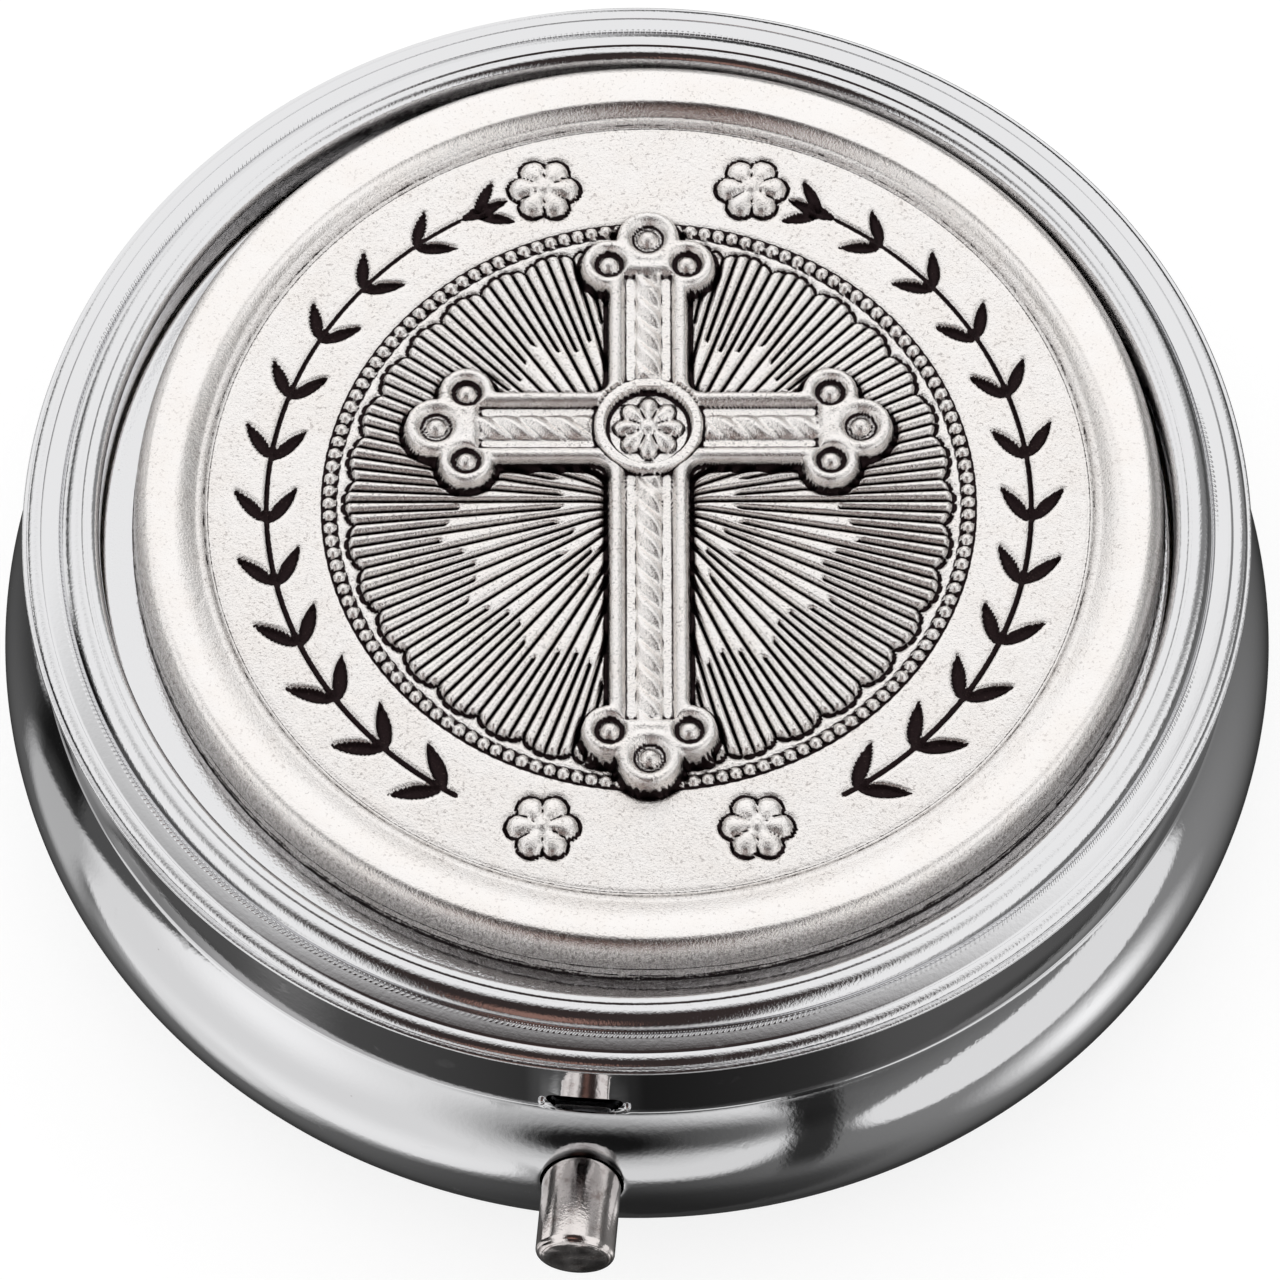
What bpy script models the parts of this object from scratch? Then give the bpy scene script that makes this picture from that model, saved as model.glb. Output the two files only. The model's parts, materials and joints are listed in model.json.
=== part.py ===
"""Round pressed-metal keepsake box with a hinged lid, a cast medallion and a push-button latch.

Lengths are metres and +Z is up. The box rests on Z = 0 with its round axis on Z.
The button faces -Y and the hinge lies at +Y.
"""

import math

import bmesh
import bpy
from mathutils import Matrix, Vector

COLLECTION = "rosary_box"
CUTTER_COLLECTION = "rosary_box_cutters"

# Bowl
BOWL_RADIUS = 0.0254
BULGE_RADIUS = 0.0076
EQUATOR_HEIGHT = 0.0070
BOWL_WALL = 0.0004
NECK_INSET = 0.00155
NECK_SHOWN = 0.0037

# Lid
LID_SHEET = 0.00035
SKIRT_GAP = 0.0002
SKIRT_HEIGHT = 0.0009
LIP_HEIGHT = 0.00012
LIP_FLARE = 0.00015
SHOULDER_RADIUS = 0.00035
ANNULUS_WIDTH = 0.0016
GROOVE_WIDTH = 0.0003
GROOVE_DEPTH = 0.0001
BEAD_WIDTH = 0.0016
BEAD_HEIGHT = 0.0005
RECESS_DEPTH = 0.0015
RECESS_FILLET = 0.0003
LID_PLATE_SHEET = 0.0003

# Medallion
MEDALLION_GAP = 0.0006
MEDALLION_OFFSET_X = 0.00045
MEDALLION_OFFSET_Y = 0.0002
MEDALLION_TURN = math.radians(5)
MEDALLION_HEIGHT = 0.0018
RIM_WIDTH = 0.0031
RIM_RISE = 0.00045
FOOT_STEP = 0.00025
FOOT_HEIGHT = 0.0008
ADHESIVE_THICKNESS = 0.0002
ADHESIVE_MARGIN = 0.0011
CROSS_HEIGHT = 0.0230
CROSS_SPAN = 0.0164
CROSS_ARM = 0.0036
CROSS_RELIEF = 0.0009
CROSS_BUD_RADIUS = 0.0017
CROSS_RAISE = 0.0031
GROUND_RADIUS = 0.0120
GROUND_RELIEF = 0.0003

# Inner pan
PAN_SHEET = 0.00035
PAN_FILLET = 0.0024
PAN_FLANGE_DROP = 0.0027

# Hinge
KNUCKLE_RADIUS = 0.0008
HINGE_SHEET = 0.0003
HINGE_INSET = 0.0004
HINGE_DROP = 0.0018
PIN_RADIUS = 0.0004
PIN_HEAD_RADIUS = 0.00055
PIN_HEAD_LENGTH = 0.00025
HINGE_COIL_SPACE = 0.0027
LID_KNUCKLE_LENGTH = 0.00115
BASE_KNUCKLE_LENGTH = 0.0018
LID_LEAF_DEPTH = 0.00135
LID_WEB_HEIGHT = 0.0012
BASE_LEAF_DEPTH = 0.0019
BASE_EAR_REACH = 0.0006
NOTCH_MARGIN = 0.0005
HINGE_WIRE_RADIUS = 0.000125
HINGE_COIL_TURNS = 2.5
HINGE_COIL_PITCH = 0.0007
HINGE_LEG_LENGTH = 0.0009

# Button and latch
BUTTON_RADIUS = 0.00155
BUTTON_DROP = 0.0029
BUTTON_SHOWN = 0.00335
BUTTON_CHAMFER = 0.0002
BUTTON_DOME = 0.00005
BUTTON_FLANGE_WIDTH = 0.0004
BUTTON_FLANGE_LENGTH = 0.0004
BUTTON_STEP_WIDTH = 0.0005
STEM_RADIUS = 0.0006
STEM_HEAD_WIDTH = 0.0002
STEM_HEAD_LENGTH = 0.0002
BUTTON_TRAVEL = 0.0010
SLIDE_SHEET = 0.0003
SLIDE_WIDTH = 0.0030
SLIDE_BELOW = 0.0017
LATCH_GAP = 0.00035
FINGER_WIDTH = 0.0012
FINGER_LENGTH = 0.0011
NOSE_RAISE = 0.00155
NOSE_REACH = 0.0008
NOSE_HEIGHT = 0.0006
NOSE_TIP_HEIGHT = 0.0002
WASHER_WIDTH = 0.00065
WASHER_THICKNESS = 0.0002
STRIKER_SHEET = 0.0003
STRIKER_WIDTH = 0.0026
STRIKER_BELOW = 0.0006
STRIKER_FOOT = 0.0011
WINDOW_WIDTH = 0.0017
WINDOW_HEIGHT = 0.0010
HOOD_WIDTH = 0.00265
HOOD_REACH = 0.00035
HOOD_WALL = 0.00033
SLOT_WIDTH = 0.0028
SLOT_HEIGHT = 0.0007

# Button spring and its bracket
COIL_WIRE_RADIUS = 0.00015
COIL_TURNS = 2.5
COIL_LENGTH = 0.0021
BRACKET_SHEET = 0.0003
BRACKET_GAP = 0.0046
BRACKET_HEIGHT = 0.0030
BRACKET_FOOT = 0.0021
SPIGOT_RADIUS = 0.00085
SPIGOT_LENGTH = 0.0005

# Fits
BOND_GAP = 0.00005
SEAT_GAP = 0.0001
RUNNING_GAP = 0.0001
EDGE_GAP = 0.00015
CLOSED_GAP = 0.0003
CUT_OVERRUN = 0.001

# Mesh fineness
SHELL_STEPS = 64
HIDDEN_STEPS = 40
ROD_SIDES = 24
COIL_POINTS = 9
WELD_DISTANCE = 0.000001

# Radii of the shells and the medallion
neck_radius = BOWL_RADIUS - NECK_INSET
neck_inside = neck_radius - BOWL_WALL
lid_radius = neck_radius + SKIRT_GAP + LID_SHEET
groove_radius = lid_radius - ANNULUS_WIDTH
recess_radius = groove_radius - BEAD_WIDTH
medallion_radius = recess_radius - MEDALLION_GAP
field_radius = medallion_radius - RIM_WIDTH

# Heights of the shells and the medallion
bulge_centre = BOWL_RADIUS - BULGE_RADIUS
crease_angle = math.acos((neck_radius - bulge_centre) / BULGE_RADIUS)
crease_height = EQUATOR_HEIGHT + BULGE_RADIUS * math.sin(crease_angle)
lip_height = crease_height + NECK_SHOWN
lid_top = lip_height + SKIRT_HEIGHT
lid_underside = lid_top - LID_SHEET
neck_top = lid_underside - EDGE_GAP
recess_floor = lid_top - RECESS_DEPTH
recess_back = recess_floor - LID_SHEET
medallion_base = recess_floor + ADHESIVE_THICKNESS + 2 * BOND_GAP
field_top = medallion_base + MEDALLION_HEIGHT - RIM_RISE
flange_floor = neck_top - PAN_FLANGE_DROP - PAN_SHEET

# Hinge axis and the edges of its leaves
hinge_height = lip_height - HINGE_DROP
web_inside = neck_radius - HINGE_INSET
hinge_y = web_inside + KNUCKLE_RADIUS
leaf_top = lid_underside - GROOVE_DEPTH - 2 * SEAT_GAP
lid_knuckle_start = HINGE_COIL_SPACE / 2
lid_knuckle_end = lid_knuckle_start + LID_KNUCKLE_LENGTH
base_knuckle_start = lid_knuckle_end + RUNNING_GAP
base_knuckle_end = base_knuckle_start + BASE_KNUCKLE_LENGTH
base_leaf_outside = neck_inside - EDGE_GAP
base_leaf_inside = base_leaf_outside - HINGE_SHEET
ear_inside = base_leaf_inside - BASE_EAR_REACH
ear_floor = hinge_height - KNUCKLE_RADIUS
notch_half = base_knuckle_end + NOTCH_MARGIN
notch_floor = ear_floor - 2 * SEAT_GAP

# Distances of the button's and latch's faces from the box's axis, towards the front
button_height = crease_height - BUTTON_DROP
button_rise = button_height - EQUATOR_HEIGHT
button_wall = bulge_centre + math.sqrt(BULGE_RADIUS**2 - button_rise**2)
button_tip = button_wall + BUTTON_SHOWN
button_flange_radius = BUTTON_RADIUS + BUTTON_FLANGE_WIDTH
inner_bulge = BULGE_RADIUS - BOWL_WALL
flange_rise = button_rise + button_flange_radius
flange_face = bulge_centre + math.sqrt(inner_bulge**2 - flange_rise**2) - 2 * SEAT_GAP
step_start = flange_face - BUTTON_FLANGE_LENGTH
striker_face = neck_inside - EDGE_GAP
striker_back = striker_face - STRIKER_SHEET
slide_face = striker_back - LATCH_GAP
slide_back = slide_face - SLIDE_SHEET
washer_face = slide_back - BOND_GAP
washer_back = washer_face - WASHER_THICKNESS
head_face = washer_back - BOND_GAP
head_radius = STEM_RADIUS + STEM_HEAD_WIDTH
stem_end = head_face - STEM_HEAD_LENGTH
nose_floor = crease_height + NOSE_RAISE
striker_floor = nose_floor - STRIKER_BELOW
coil_radius = head_radius + COIL_WIRE_RADIUS + EDGE_GAP
coil_front = washer_back - BOND_GAP - COIL_WIRE_RADIUS
coil_back = coil_front - COIL_LENGTH
bridge_face = coil_back - COIL_WIRE_RADIUS - BOND_GAP
bridge_back = bridge_face - BRACKET_SHEET
pan_radius = bridge_back - CLOSED_GAP


def clear_scene():
    """Remove every object the file opened with."""
    for item in list(bpy.data.objects):
        bpy.data.objects.remove(item, do_unlink=True)


def collection(name):
    """Return a collection linked to the scene."""
    group = bpy.data.collections.new(name)
    bpy.context.scene.collection.children.link(group)
    return group


def metal(name, colour, roughness, metallic=1.0):
    """Return a Principled material with one plain colour."""
    material = bpy.data.materials.new(name)
    material.use_nodes = True
    shader = material.node_tree.nodes["Principled BSDF"]
    shader.inputs["Base Color"].default_value = (*colour, 1.0)
    shader.inputs["Roughness"].default_value = roughness
    shader.inputs["Metallic"].default_value = metallic
    return material


def place(name, mesh, group, material=None):
    """Make an object from a mesh and link it to a collection."""
    item = bpy.data.objects.new(name, mesh)
    group.objects.link(item)
    if material:
        mesh.materials.append(material)
    return item


def as_cutter(item):
    """Keep an object out of the model, as a shape that only cuts."""
    item.hide_render = True
    item.display_type = "WIRE"
    return item


def arc(centre, radii, start, end, count):
    """Points on an elliptical arc in the (radius, height) plane, both ends included."""
    points = []
    for index in range(count + 1):
        angle = start + (end - start) * index / count
        radius = centre[0] + radii[0] * math.cos(angle)
        height = centre[1] + radii[1] * math.sin(angle)
        points.append((radius, height))
    return points


def turned(name, profile, steps, group, material=None):
    """Turn a profile of (radius, height) points round Z."""
    mesh = bpy.data.meshes.new(name)
    points = [(radius, 0, height) for radius, height in profile]
    edges = [(index, index + 1) for index in range(len(points) - 1)]
    mesh.from_pydata(points, edges, [])
    item = place(name, mesh, group, material)
    screw = item.modifiers.new("turn", "SCREW")
    screw.steps = steps
    screw.render_steps = steps
    screw.use_merge_vertices = True
    screw.merge_threshold = WELD_DISTANCE
    screw.use_smooth_shade = True
    return item


def shell(name, profile, sheet, steps, group, material):
    """Turn the outer side of a pressed sheet and thicken it inward."""
    item = turned(name, profile, steps, group, material)
    solidify = item.modifiers.new("sheet", "SOLIDIFY")
    solidify.thickness = sheet
    solidify.offset = -1
    solidify.use_even_offset = True
    return item


def mesh_from(builder, name):
    """Fill a new mesh with the bmesh that a builder function makes."""
    mesh = bpy.data.meshes.new(name)
    shape = bmesh.new()
    builder(shape)
    shape.to_mesh(mesh)
    shape.free()
    return mesh


def block(name, low, high, group, material=None):
    """Make a box between two corners."""
    low = Vector(low)
    high = Vector(high)

    def build(shape):
        bmesh.ops.create_cube(shape, size=1)
        bmesh.ops.scale(shape, vec=high - low, verts=shape.verts)
        bmesh.ops.translate(shape, vec=(low + high) / 2, verts=shape.verts)

    return place(name, mesh_from(build, name), group, material)


def rod(name, start, end, radius, group, material=None, sides=ROD_SIDES):
    """Make a round rod between two points."""
    start = Vector(start)
    end = Vector(end)
    mesh = mesh_from(
        lambda shape: bmesh.ops.create_cone(
            shape,
            cap_ends=True,
            segments=sides,
            radius1=radius,
            radius2=radius,
            depth=(end - start).length,
        ),
        name,
    )
    item = place(name, mesh, group, material)
    item.location = (start + end) / 2
    item.rotation_euler = (end - start).to_track_quat("Z", "Y").to_euler()
    return item


def combine(item, other, operation):
    """Add an exact Boolean to an object and keep its operand out of the model."""
    as_cutter(other)
    boolean = item.modifiers.new(operation.lower(), "BOOLEAN")
    boolean.operation = operation
    boolean.solver = "EXACT"
    boolean.object = other
    return item


def cut(item, *cutters):
    """Cut each cutter from an object."""
    for cutter in cutters:
        combine(item, cutter, "DIFFERENCE")
    return item


def join(item, *others):
    """Fuse each other solid to an object."""
    for other in others:
        combine(item, other, "UNION")
    return item


def curve_mesh(curve_object):
    """Swap a curve object for a welded mesh object of the same name."""
    name = curve_object.name
    group = curve_object.users_collection[0]
    graph = bpy.context.evaluated_depsgraph_get()
    mesh = bpy.data.meshes.new_from_object(curve_object.evaluated_get(graph))
    shape = bmesh.new()
    shape.from_mesh(mesh)
    bmesh.ops.remove_doubles(shape, verts=shape.verts, dist=WELD_DISTANCE)
    shape.to_mesh(mesh)
    shape.free()
    matrix = curve_object.matrix_world.copy()
    bpy.data.objects.remove(curve_object)
    item = bpy.data.objects.new(name, mesh)
    item.matrix_world = matrix
    group.objects.link(item)
    return item


def wire(name, points, radius, group, material):
    """Make a round wire along points as one closed tube."""
    curve = bpy.data.curves.new(name, "CURVE")
    curve.dimensions = "3D"
    curve.bevel_depth = radius
    curve.bevel_resolution = 1
    curve.use_fill_caps = True
    spline = curve.splines.new("POLY")
    spline.points.add(len(points) - 1)
    for knot, point in zip(spline.points, points):
        knot.co = (*point, 1)
    item = bpy.data.objects.new(name, curve)
    group.objects.link(item)
    item = curve_mesh(item)
    item.data.materials.append(material)
    return item


def outline_solid(name, points, low, high, group, material=None):
    """Extrude a flat outline in X and Y between two heights."""
    curve = bpy.data.curves.new(name, "CURVE")
    curve.dimensions = "2D"
    curve.fill_mode = "BOTH"
    curve.extrude = (high - low) / 2
    spline = curve.splines.new("POLY")
    spline.use_cyclic_u = True
    spline.points.add(len(points) - 1)
    for knot, point in zip(spline.points, points):
        knot.co = (point[0], point[1], 0, 1)
    item = bpy.data.objects.new(name, curve)
    group.objects.link(item)
    item = curve_mesh(item)
    item.location.z = (low + high) / 2
    if material:
        item.data.materials.append(material)
    return item


def least_gap(points, wire_radius, turn_points):
    """Smallest clear distance between points of a coil that lie half a turn or more apart."""
    least = math.inf
    for index, point in enumerate(points):
        for other in points[index + turn_points // 2 + 1:]:
            least = min(least, (Vector(point) - Vector(other)).length)
    return least - 2 * wire_radius


def empty(name, location, group):
    """Make an empty on a joint's axis to carry a moving body."""
    item = bpy.data.objects.new(name, None)
    item.location = location
    group.objects.link(item)
    return item


def carry(parent, items):
    """Parent objects to an empty without moving them."""
    for item in items:
        item.parent = parent
        item.location = item.location - parent.location


def bowl_profile():
    """Outer side of the bowl from the neck's edge down to the centre of its base."""
    points = [(neck_radius, neck_top)]
    centre = (bulge_centre, EQUATOR_HEIGHT)
    points += arc(centre, (BULGE_RADIUS, BULGE_RADIUS), crease_angle, 0, 5)
    points += arc(centre, (BULGE_RADIUS, EQUATOR_HEIGHT), 0, -math.pi / 2, 7)[1:]
    points.append((0, 0))
    return points


def base_bowl(parts, cutters, chrome):
    """Pressed bowl with its neck, hinge notch, latch hood, slot and button hole."""
    bowl = shell("base_bowl", bowl_profile(), BOWL_WALL, SHELL_STEPS, parts, chrome)
    hood_radius = HOOD_WIDTH / 2
    hood_y = -(neck_radius + HOOD_REACH - hood_radius)
    hood_low = crease_height + SEAT_GAP
    hood_high = lip_height - CLOSED_GAP
    hood = rod("hood", (0, hood_y, hood_low), (0, hood_y, hood_high), hood_radius, cutters)
    hollow_low = crease_height - SLOT_HEIGHT
    hollow = rod(
        "hood_hollow",
        (0, hood_y, hollow_low),
        (0, hood_y, hood_high - HOOD_WALL),
        hood_radius - HOOD_WALL,
        cutters,
    )
    core = turned(
        "neck_core",
        [
            (0, hood_high + CUT_OVERRUN),
            (neck_inside, hood_high + CUT_OVERRUN),
            (neck_inside, hood_low - SEAT_GAP),
            (0, hood_low - SEAT_GAP),
        ],
        SHELL_STEPS,
        cutters,
    )
    cut(hood, core)
    slot = block(
        "slot_cut",
        (-SLOT_WIDTH / 2, -neck_radius - CUT_OVERRUN, crease_height - SLOT_HEIGHT / 2),
        (SLOT_WIDTH / 2, -neck_inside + BOWL_WALL, crease_height + SLOT_HEIGHT / 2),
        cutters,
    )
    hole = rod(
        "button_hole",
        (0, -button_wall - CUT_OVERRUN, button_height),
        (0, -flange_face, button_height),
        BUTTON_RADIUS + RUNNING_GAP,
        cutters,
    )
    notch = block(
        "hinge_notch",
        (-notch_half, neck_inside - CUT_OVERRUN, notch_floor),
        (notch_half, neck_radius + CUT_OVERRUN, neck_top + CUT_OVERRUN),
        cutters,
    )
    join(bowl, hood)
    cut(bowl, hollow, slot, hole, notch)
    return bowl


def lid_profile():
    """Outer side of the lid from the centre of its recess out to its lip."""
    bead_centre = (recess_radius + groove_radius) / 2
    bead_half = (groove_radius - recess_radius) / 2
    shoulder = lid_radius - LIP_FLARE - SHOULDER_RADIUS
    points = [(0, recess_floor), (recess_radius - RECESS_FILLET, recess_floor)]
    points.append((recess_radius, recess_floor + RECESS_FILLET))
    points += arc((bead_centre, lid_top), (bead_half, BEAD_HEIGHT), math.pi, 0, 6)[:-1]
    points.append((groove_radius, lid_top - GROOVE_DEPTH))
    points.append((groove_radius + GROOVE_WIDTH, lid_top))
    centre = (shoulder, lid_top - SHOULDER_RADIUS)
    points += arc(centre, (SHOULDER_RADIUS, SHOULDER_RADIUS), math.pi / 2, 0, 3)
    points.append((lid_radius, lip_height + LIP_HEIGHT))
    points.append((lid_radius, lip_height))
    return points


def lid_inner_plate(parts, brushed):
    """Shallow cap pressed over the back of the recess, which lines the lid."""
    outside = recess_radius + LID_SHEET + RUNNING_GAP + LID_PLATE_SHEET
    low = recess_back - RUNNING_GAP - LID_PLATE_SHEET
    profile = [
        (outside, leaf_top - SEAT_GAP),
        (outside, low + RECESS_FILLET),
        (outside - RECESS_FILLET, low),
        (0, low),
    ]
    return shell("lid_inner_plate", profile, LID_PLATE_SHEET, HIDDEN_STEPS, parts, brushed)


def medallion_profile():
    """Upper side of the medallion from its centre over the rim, then its foot and back."""
    crest = (field_radius + medallion_radius) / 2
    step = medallion_radius - FOOT_STEP
    half = step - crest
    points = [(0, field_top), (field_radius, field_top)]
    points += arc((crest, field_top), (crest - field_radius, RIM_RISE), math.pi, 0, 7)[1:-1]
    points += [
        (crest + half, field_top - FOOT_STEP),
        (step, medallion_base + FOOT_HEIGHT),
        (medallion_radius, medallion_base + FOOT_HEIGHT - FOOT_STEP),
        (medallion_radius, medallion_base),
        (0, medallion_base),
    ]
    return points


def medallion(parts, cutters, silver):
    """Cast medallion with a round rim and a plain raised cross on a round ground."""
    disc = turned("medallion", medallion_profile(), SHELL_STEPS, parts, silver)
    sunk = field_top - RIM_RISE
    ground = rod(
        "cross_ground",
        (0, 0, sunk),
        (0, 0, field_top + GROUND_RELIEF),
        GROUND_RADIUS,
        cutters,
        sides=HIDDEN_STEPS,
    )
    top = field_top + CROSS_RELIEF
    half = CROSS_ARM / 2
    upright = block(
        "cross_upright",
        (-half, -CROSS_HEIGHT / 2, sunk),
        (half, CROSS_HEIGHT / 2, top),
        cutters,
    )
    beam = block(
        "cross_beam",
        (-CROSS_SPAN / 2, CROSS_RAISE - half, sunk),
        (CROSS_SPAN / 2, CROSS_RAISE + half, top),
        cutters,
    )
    ends = [
        (0, CROSS_HEIGHT / 2),
        (0, -CROSS_HEIGHT / 2),
        (CROSS_SPAN / 2, CROSS_RAISE),
        (-CROSS_SPAN / 2, CROSS_RAISE),
    ]
    shapes = [ground, upright, beam]
    for number, (x, y) in enumerate(ends):
        name = f"cross_bud_{number}"
        bud_top = top - BOND_GAP
        bud = rod(name, (x, y, sunk - BOND_GAP), (x, y, bud_top), CROSS_BUD_RADIUS, cutters)
        shapes.append(bud)
    join(disc, *shapes)
    for item in [disc] + shapes:
        turn_in_place(item)
    return disc


def turn_in_place(item):
    """Turn a piece of the medallion with it and move it to where it is glued."""
    item.location.rotate(Matrix.Rotation(MEDALLION_TURN, 3, "Z"))
    item.location.x += MEDALLION_OFFSET_X
    item.location.y += MEDALLION_OFFSET_Y
    item.rotation_euler.z += MEDALLION_TURN


def medallion_adhesive(parts, resin):
    """Thin disc of adhesive under the medallion."""
    low = recess_floor + BOND_GAP
    radius = medallion_radius - ADHESIVE_MARGIN
    return rod(
        "medallion_adhesive",
        (MEDALLION_OFFSET_X, MEDALLION_OFFSET_Y, low),
        (MEDALLION_OFFSET_X, MEDALLION_OFFSET_Y, low + ADHESIVE_THICKNESS),
        radius,
        parts,
        resin,
        sides=HIDDEN_STEPS,
    )


def inner_pan(parts, cutters, brushed):
    """Pressed dish that holds the contents and hides the latch."""
    low = BOWL_WALL + SEAT_GAP
    edge = neck_inside - CLOSED_GAP
    centre = (pan_radius - PAN_FILLET, low + PAN_FILLET)
    profile = [(edge, flange_floor), (pan_radius, flange_floor)]
    profile += arc(centre, (PAN_FILLET, PAN_FILLET), 0, -math.pi / 2, 4)
    profile.append((0, low))
    pan = shell("inner_pan", profile, PAN_SHEET, HIDDEN_STEPS, parts, brushed)
    high = flange_floor + PAN_SHEET + CUT_OVERRUN
    latch_inside = slide_back - BUTTON_TRAVEL - 2 * SEAT_GAP
    latch_half = STRIKER_WIDTH / 2 + CLOSED_GAP
    latch_notch = block(
        "pan_latch_notch",
        (-latch_half, -edge - CUT_OVERRUN, flange_floor - CUT_OVERRUN),
        (latch_half, -latch_inside, high),
        cutters,
    )
    hinge_notch = block(
        "pan_hinge_notch",
        (-base_knuckle_end - CLOSED_GAP, ear_inside - CLOSED_GAP, flange_floor - CUT_OVERRUN),
        (base_knuckle_end + CLOSED_GAP, edge + CUT_OVERRUN, high),
        cutters,
    )
    return cut(pan, latch_notch, hinge_notch)


def knuckle_pair(name, start, end, cutters):
    """Two solid barrels on the hinge axis, one on each side of the middle."""
    pair = []
    for side in (-1, 1):
        barrel = rod(
            f"{name}_{'left' if side < 0 else 'right'}",
            (side * start, hinge_y, hinge_height),
            (side * end, hinge_y, hinge_height),
            KNUCKLE_RADIUS,
            cutters,
        )
        pair.append(barrel)
    return pair


def pin_bore(name, cutters):
    """Cutter for the pin's bore through a leaf's knuckles."""
    reach = base_knuckle_end + CUT_OVERRUN
    return rod(
        name,
        (-reach, hinge_y, hinge_height),
        (reach, hinge_y, hinge_height),
        PIN_RADIUS + RUNNING_GAP,
        cutters,
    )


def lid_hinge_leaf(parts, cutters, steel):
    """Bent leaf under the lid with its two knuckles."""
    flange_low = leaf_top - HINGE_SHEET
    web_outside = web_inside + HINGE_SHEET
    web_low = leaf_top - LID_WEB_HEIGHT
    start = lid_knuckle_start
    end = lid_knuckle_end
    leaf = block(
        "lid_hinge_leaf",
        (-end, web_outside - LID_LEAF_DEPTH, flange_low),
        (end, web_outside, leaf_top),
        parts,
        steel,
    )
    web = block("lid_web", (-end, web_inside, web_low), (end, web_outside, leaf_top - BOND_GAP), cutters)
    straps = []
    for side in (-1, 1):
        low_x, high_x = sorted((side * start, side * end))
        strap = block(
            f"lid_strap_{'left' if side < 0 else 'right'}",
            (low_x, web_inside, hinge_height),
            (high_x, web_outside, web_low + HINGE_SHEET),
            cutters,
        )
        straps.append(strap)
    join(leaf, web, *straps, *knuckle_pair("lid_knuckle", start, end, cutters))
    return cut(leaf, pin_bore("lid_bore", cutters))


def base_hinge_leaf(parts, cutters, steel):
    """Curved leaf inside the neck with ears that carry the two outer knuckles."""
    spread = math.asin(base_knuckle_end / base_leaf_inside)
    count = 6
    points = []
    for radius, direction in ((base_leaf_outside, 1), (base_leaf_inside, -1)):
        for index in range(count + 1):
            angle = math.pi / 2 + direction * spread * (1 - 2 * index / count)
            points.append((radius * math.cos(angle), radius * math.sin(angle)))
    plate_top = ear_floor - SEAT_GAP
    plate_low = plate_top - BASE_LEAF_DEPTH
    leaf = outline_solid("base_hinge_leaf", points, plate_low, plate_top, parts, steel)
    ears = []
    for side in (-1, 1):
        low_x, high_x = sorted((side * base_knuckle_start, side * (base_knuckle_end - SEAT_GAP)))
        label = "left" if side < 0 else "right"
        ear = block(
            f"base_ear_{label}",
            (low_x, ear_inside, ear_floor),
            (high_x, hinge_y, ear_floor + HINGE_SHEET),
            cutters,
        )
        root = block(
            f"base_root_{label}",
            (low_x, ear_inside + SEAT_GAP, plate_low + BASE_LEAF_DEPTH / 2),
            (high_x, ear_inside + SEAT_GAP + HINGE_SHEET, ear_floor + HINGE_SHEET / 2),
            cutters,
        )
        ears += [root, ear]
    join(leaf, *ears, *knuckle_pair("base_knuckle", base_knuckle_start, base_knuckle_end, cutters))
    return cut(leaf, pin_bore("base_bore", cutters))


def hinge_pin(parts, cutters, steel):
    """Hinge pin with an upset head on each end."""
    reach = base_knuckle_end + RUNNING_GAP
    pin = rod(
        "hinge_pin",
        (-reach, hinge_y, hinge_height),
        (reach, hinge_y, hinge_height),
        PIN_RADIUS,
        parts,
        steel,
    )
    for side in (-1, 1):
        head = rod(
            f"pin_head_{'left' if side < 0 else 'right'}",
            (side * (reach - BOND_GAP), hinge_y, hinge_height),
            (side * (reach + PIN_HEAD_LENGTH), hinge_y, hinge_height),
            PIN_HEAD_RADIUS,
            cutters,
        )
        join(pin, head)
    return pin


def hinge_spring(parts, wire_steel):
    """Torsion spring round the pin, with a leg on the base leaf and one behind the lid's leaf."""
    radius = PIN_RADIUS + RUNNING_GAP + HINGE_WIRE_RADIUS + BOND_GAP / 2
    half = HINGE_COIL_PITCH * HINGE_COIL_TURNS / 2
    count = round(HINGE_COIL_TURNS * COIL_POINTS)
    start = -math.pi / 2
    coil = []
    for index in range(count + 1):
        angle = start + 2 * math.pi * HINGE_COIL_TURNS * index / count
        x = -half + 2 * half * index / count
        coil.append((x, hinge_y + radius * math.cos(angle), hinge_height + radius * math.sin(angle)))
    first = Vector(coil[0])
    last = Vector(coil[-1])
    low_leg = [first + Vector((0, -HINGE_LEG_LENGTH * 2, 0)), first + Vector((0, -HINGE_LEG_LENGTH, 0))]
    leg_y = web_inside - SEAT_GAP - HINGE_WIRE_RADIUS * 2
    leg_low = leaf_top - LID_WEB_HEIGHT
    high_leg = [
        Vector((last.x, leg_y + HINGE_WIRE_RADIUS, (last.z + leg_low) / 2)),
        Vector((last.x, leg_y, leg_low)),
        Vector((last.x, leg_y, leg_low + HINGE_LEG_LENGTH / 2)),
    ]
    print("hinge spring least gap mm:", round(least_gap(coil, HINGE_WIRE_RADIUS, COIL_POINTS) * 1000, 3))
    return wire("hinge_spring", low_leg + coil + high_leg, HINGE_WIRE_RADIUS, parts, wire_steel)


def button_profile():
    """Turned button from the middle of its face to the end of its peened stem."""
    tip = button_tip
    step_radius = STEM_RADIUS + BUTTON_STEP_WIDTH
    return [
        (0, tip),
        (BUTTON_RADIUS - BUTTON_CHAMFER, tip - BUTTON_DOME),
        (BUTTON_RADIUS, tip - BUTTON_CHAMFER),
        (BUTTON_RADIUS, flange_face),
        (button_flange_radius, flange_face),
        (button_flange_radius, step_start),
        (step_radius, step_start),
        (step_radius, slide_face + BOND_GAP),
        (STEM_RADIUS, slide_face + BOND_GAP),
        (STEM_RADIUS, head_face),
        (head_radius, head_face),
        (head_radius, stem_end),
        (0, stem_end),
    ]


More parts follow.
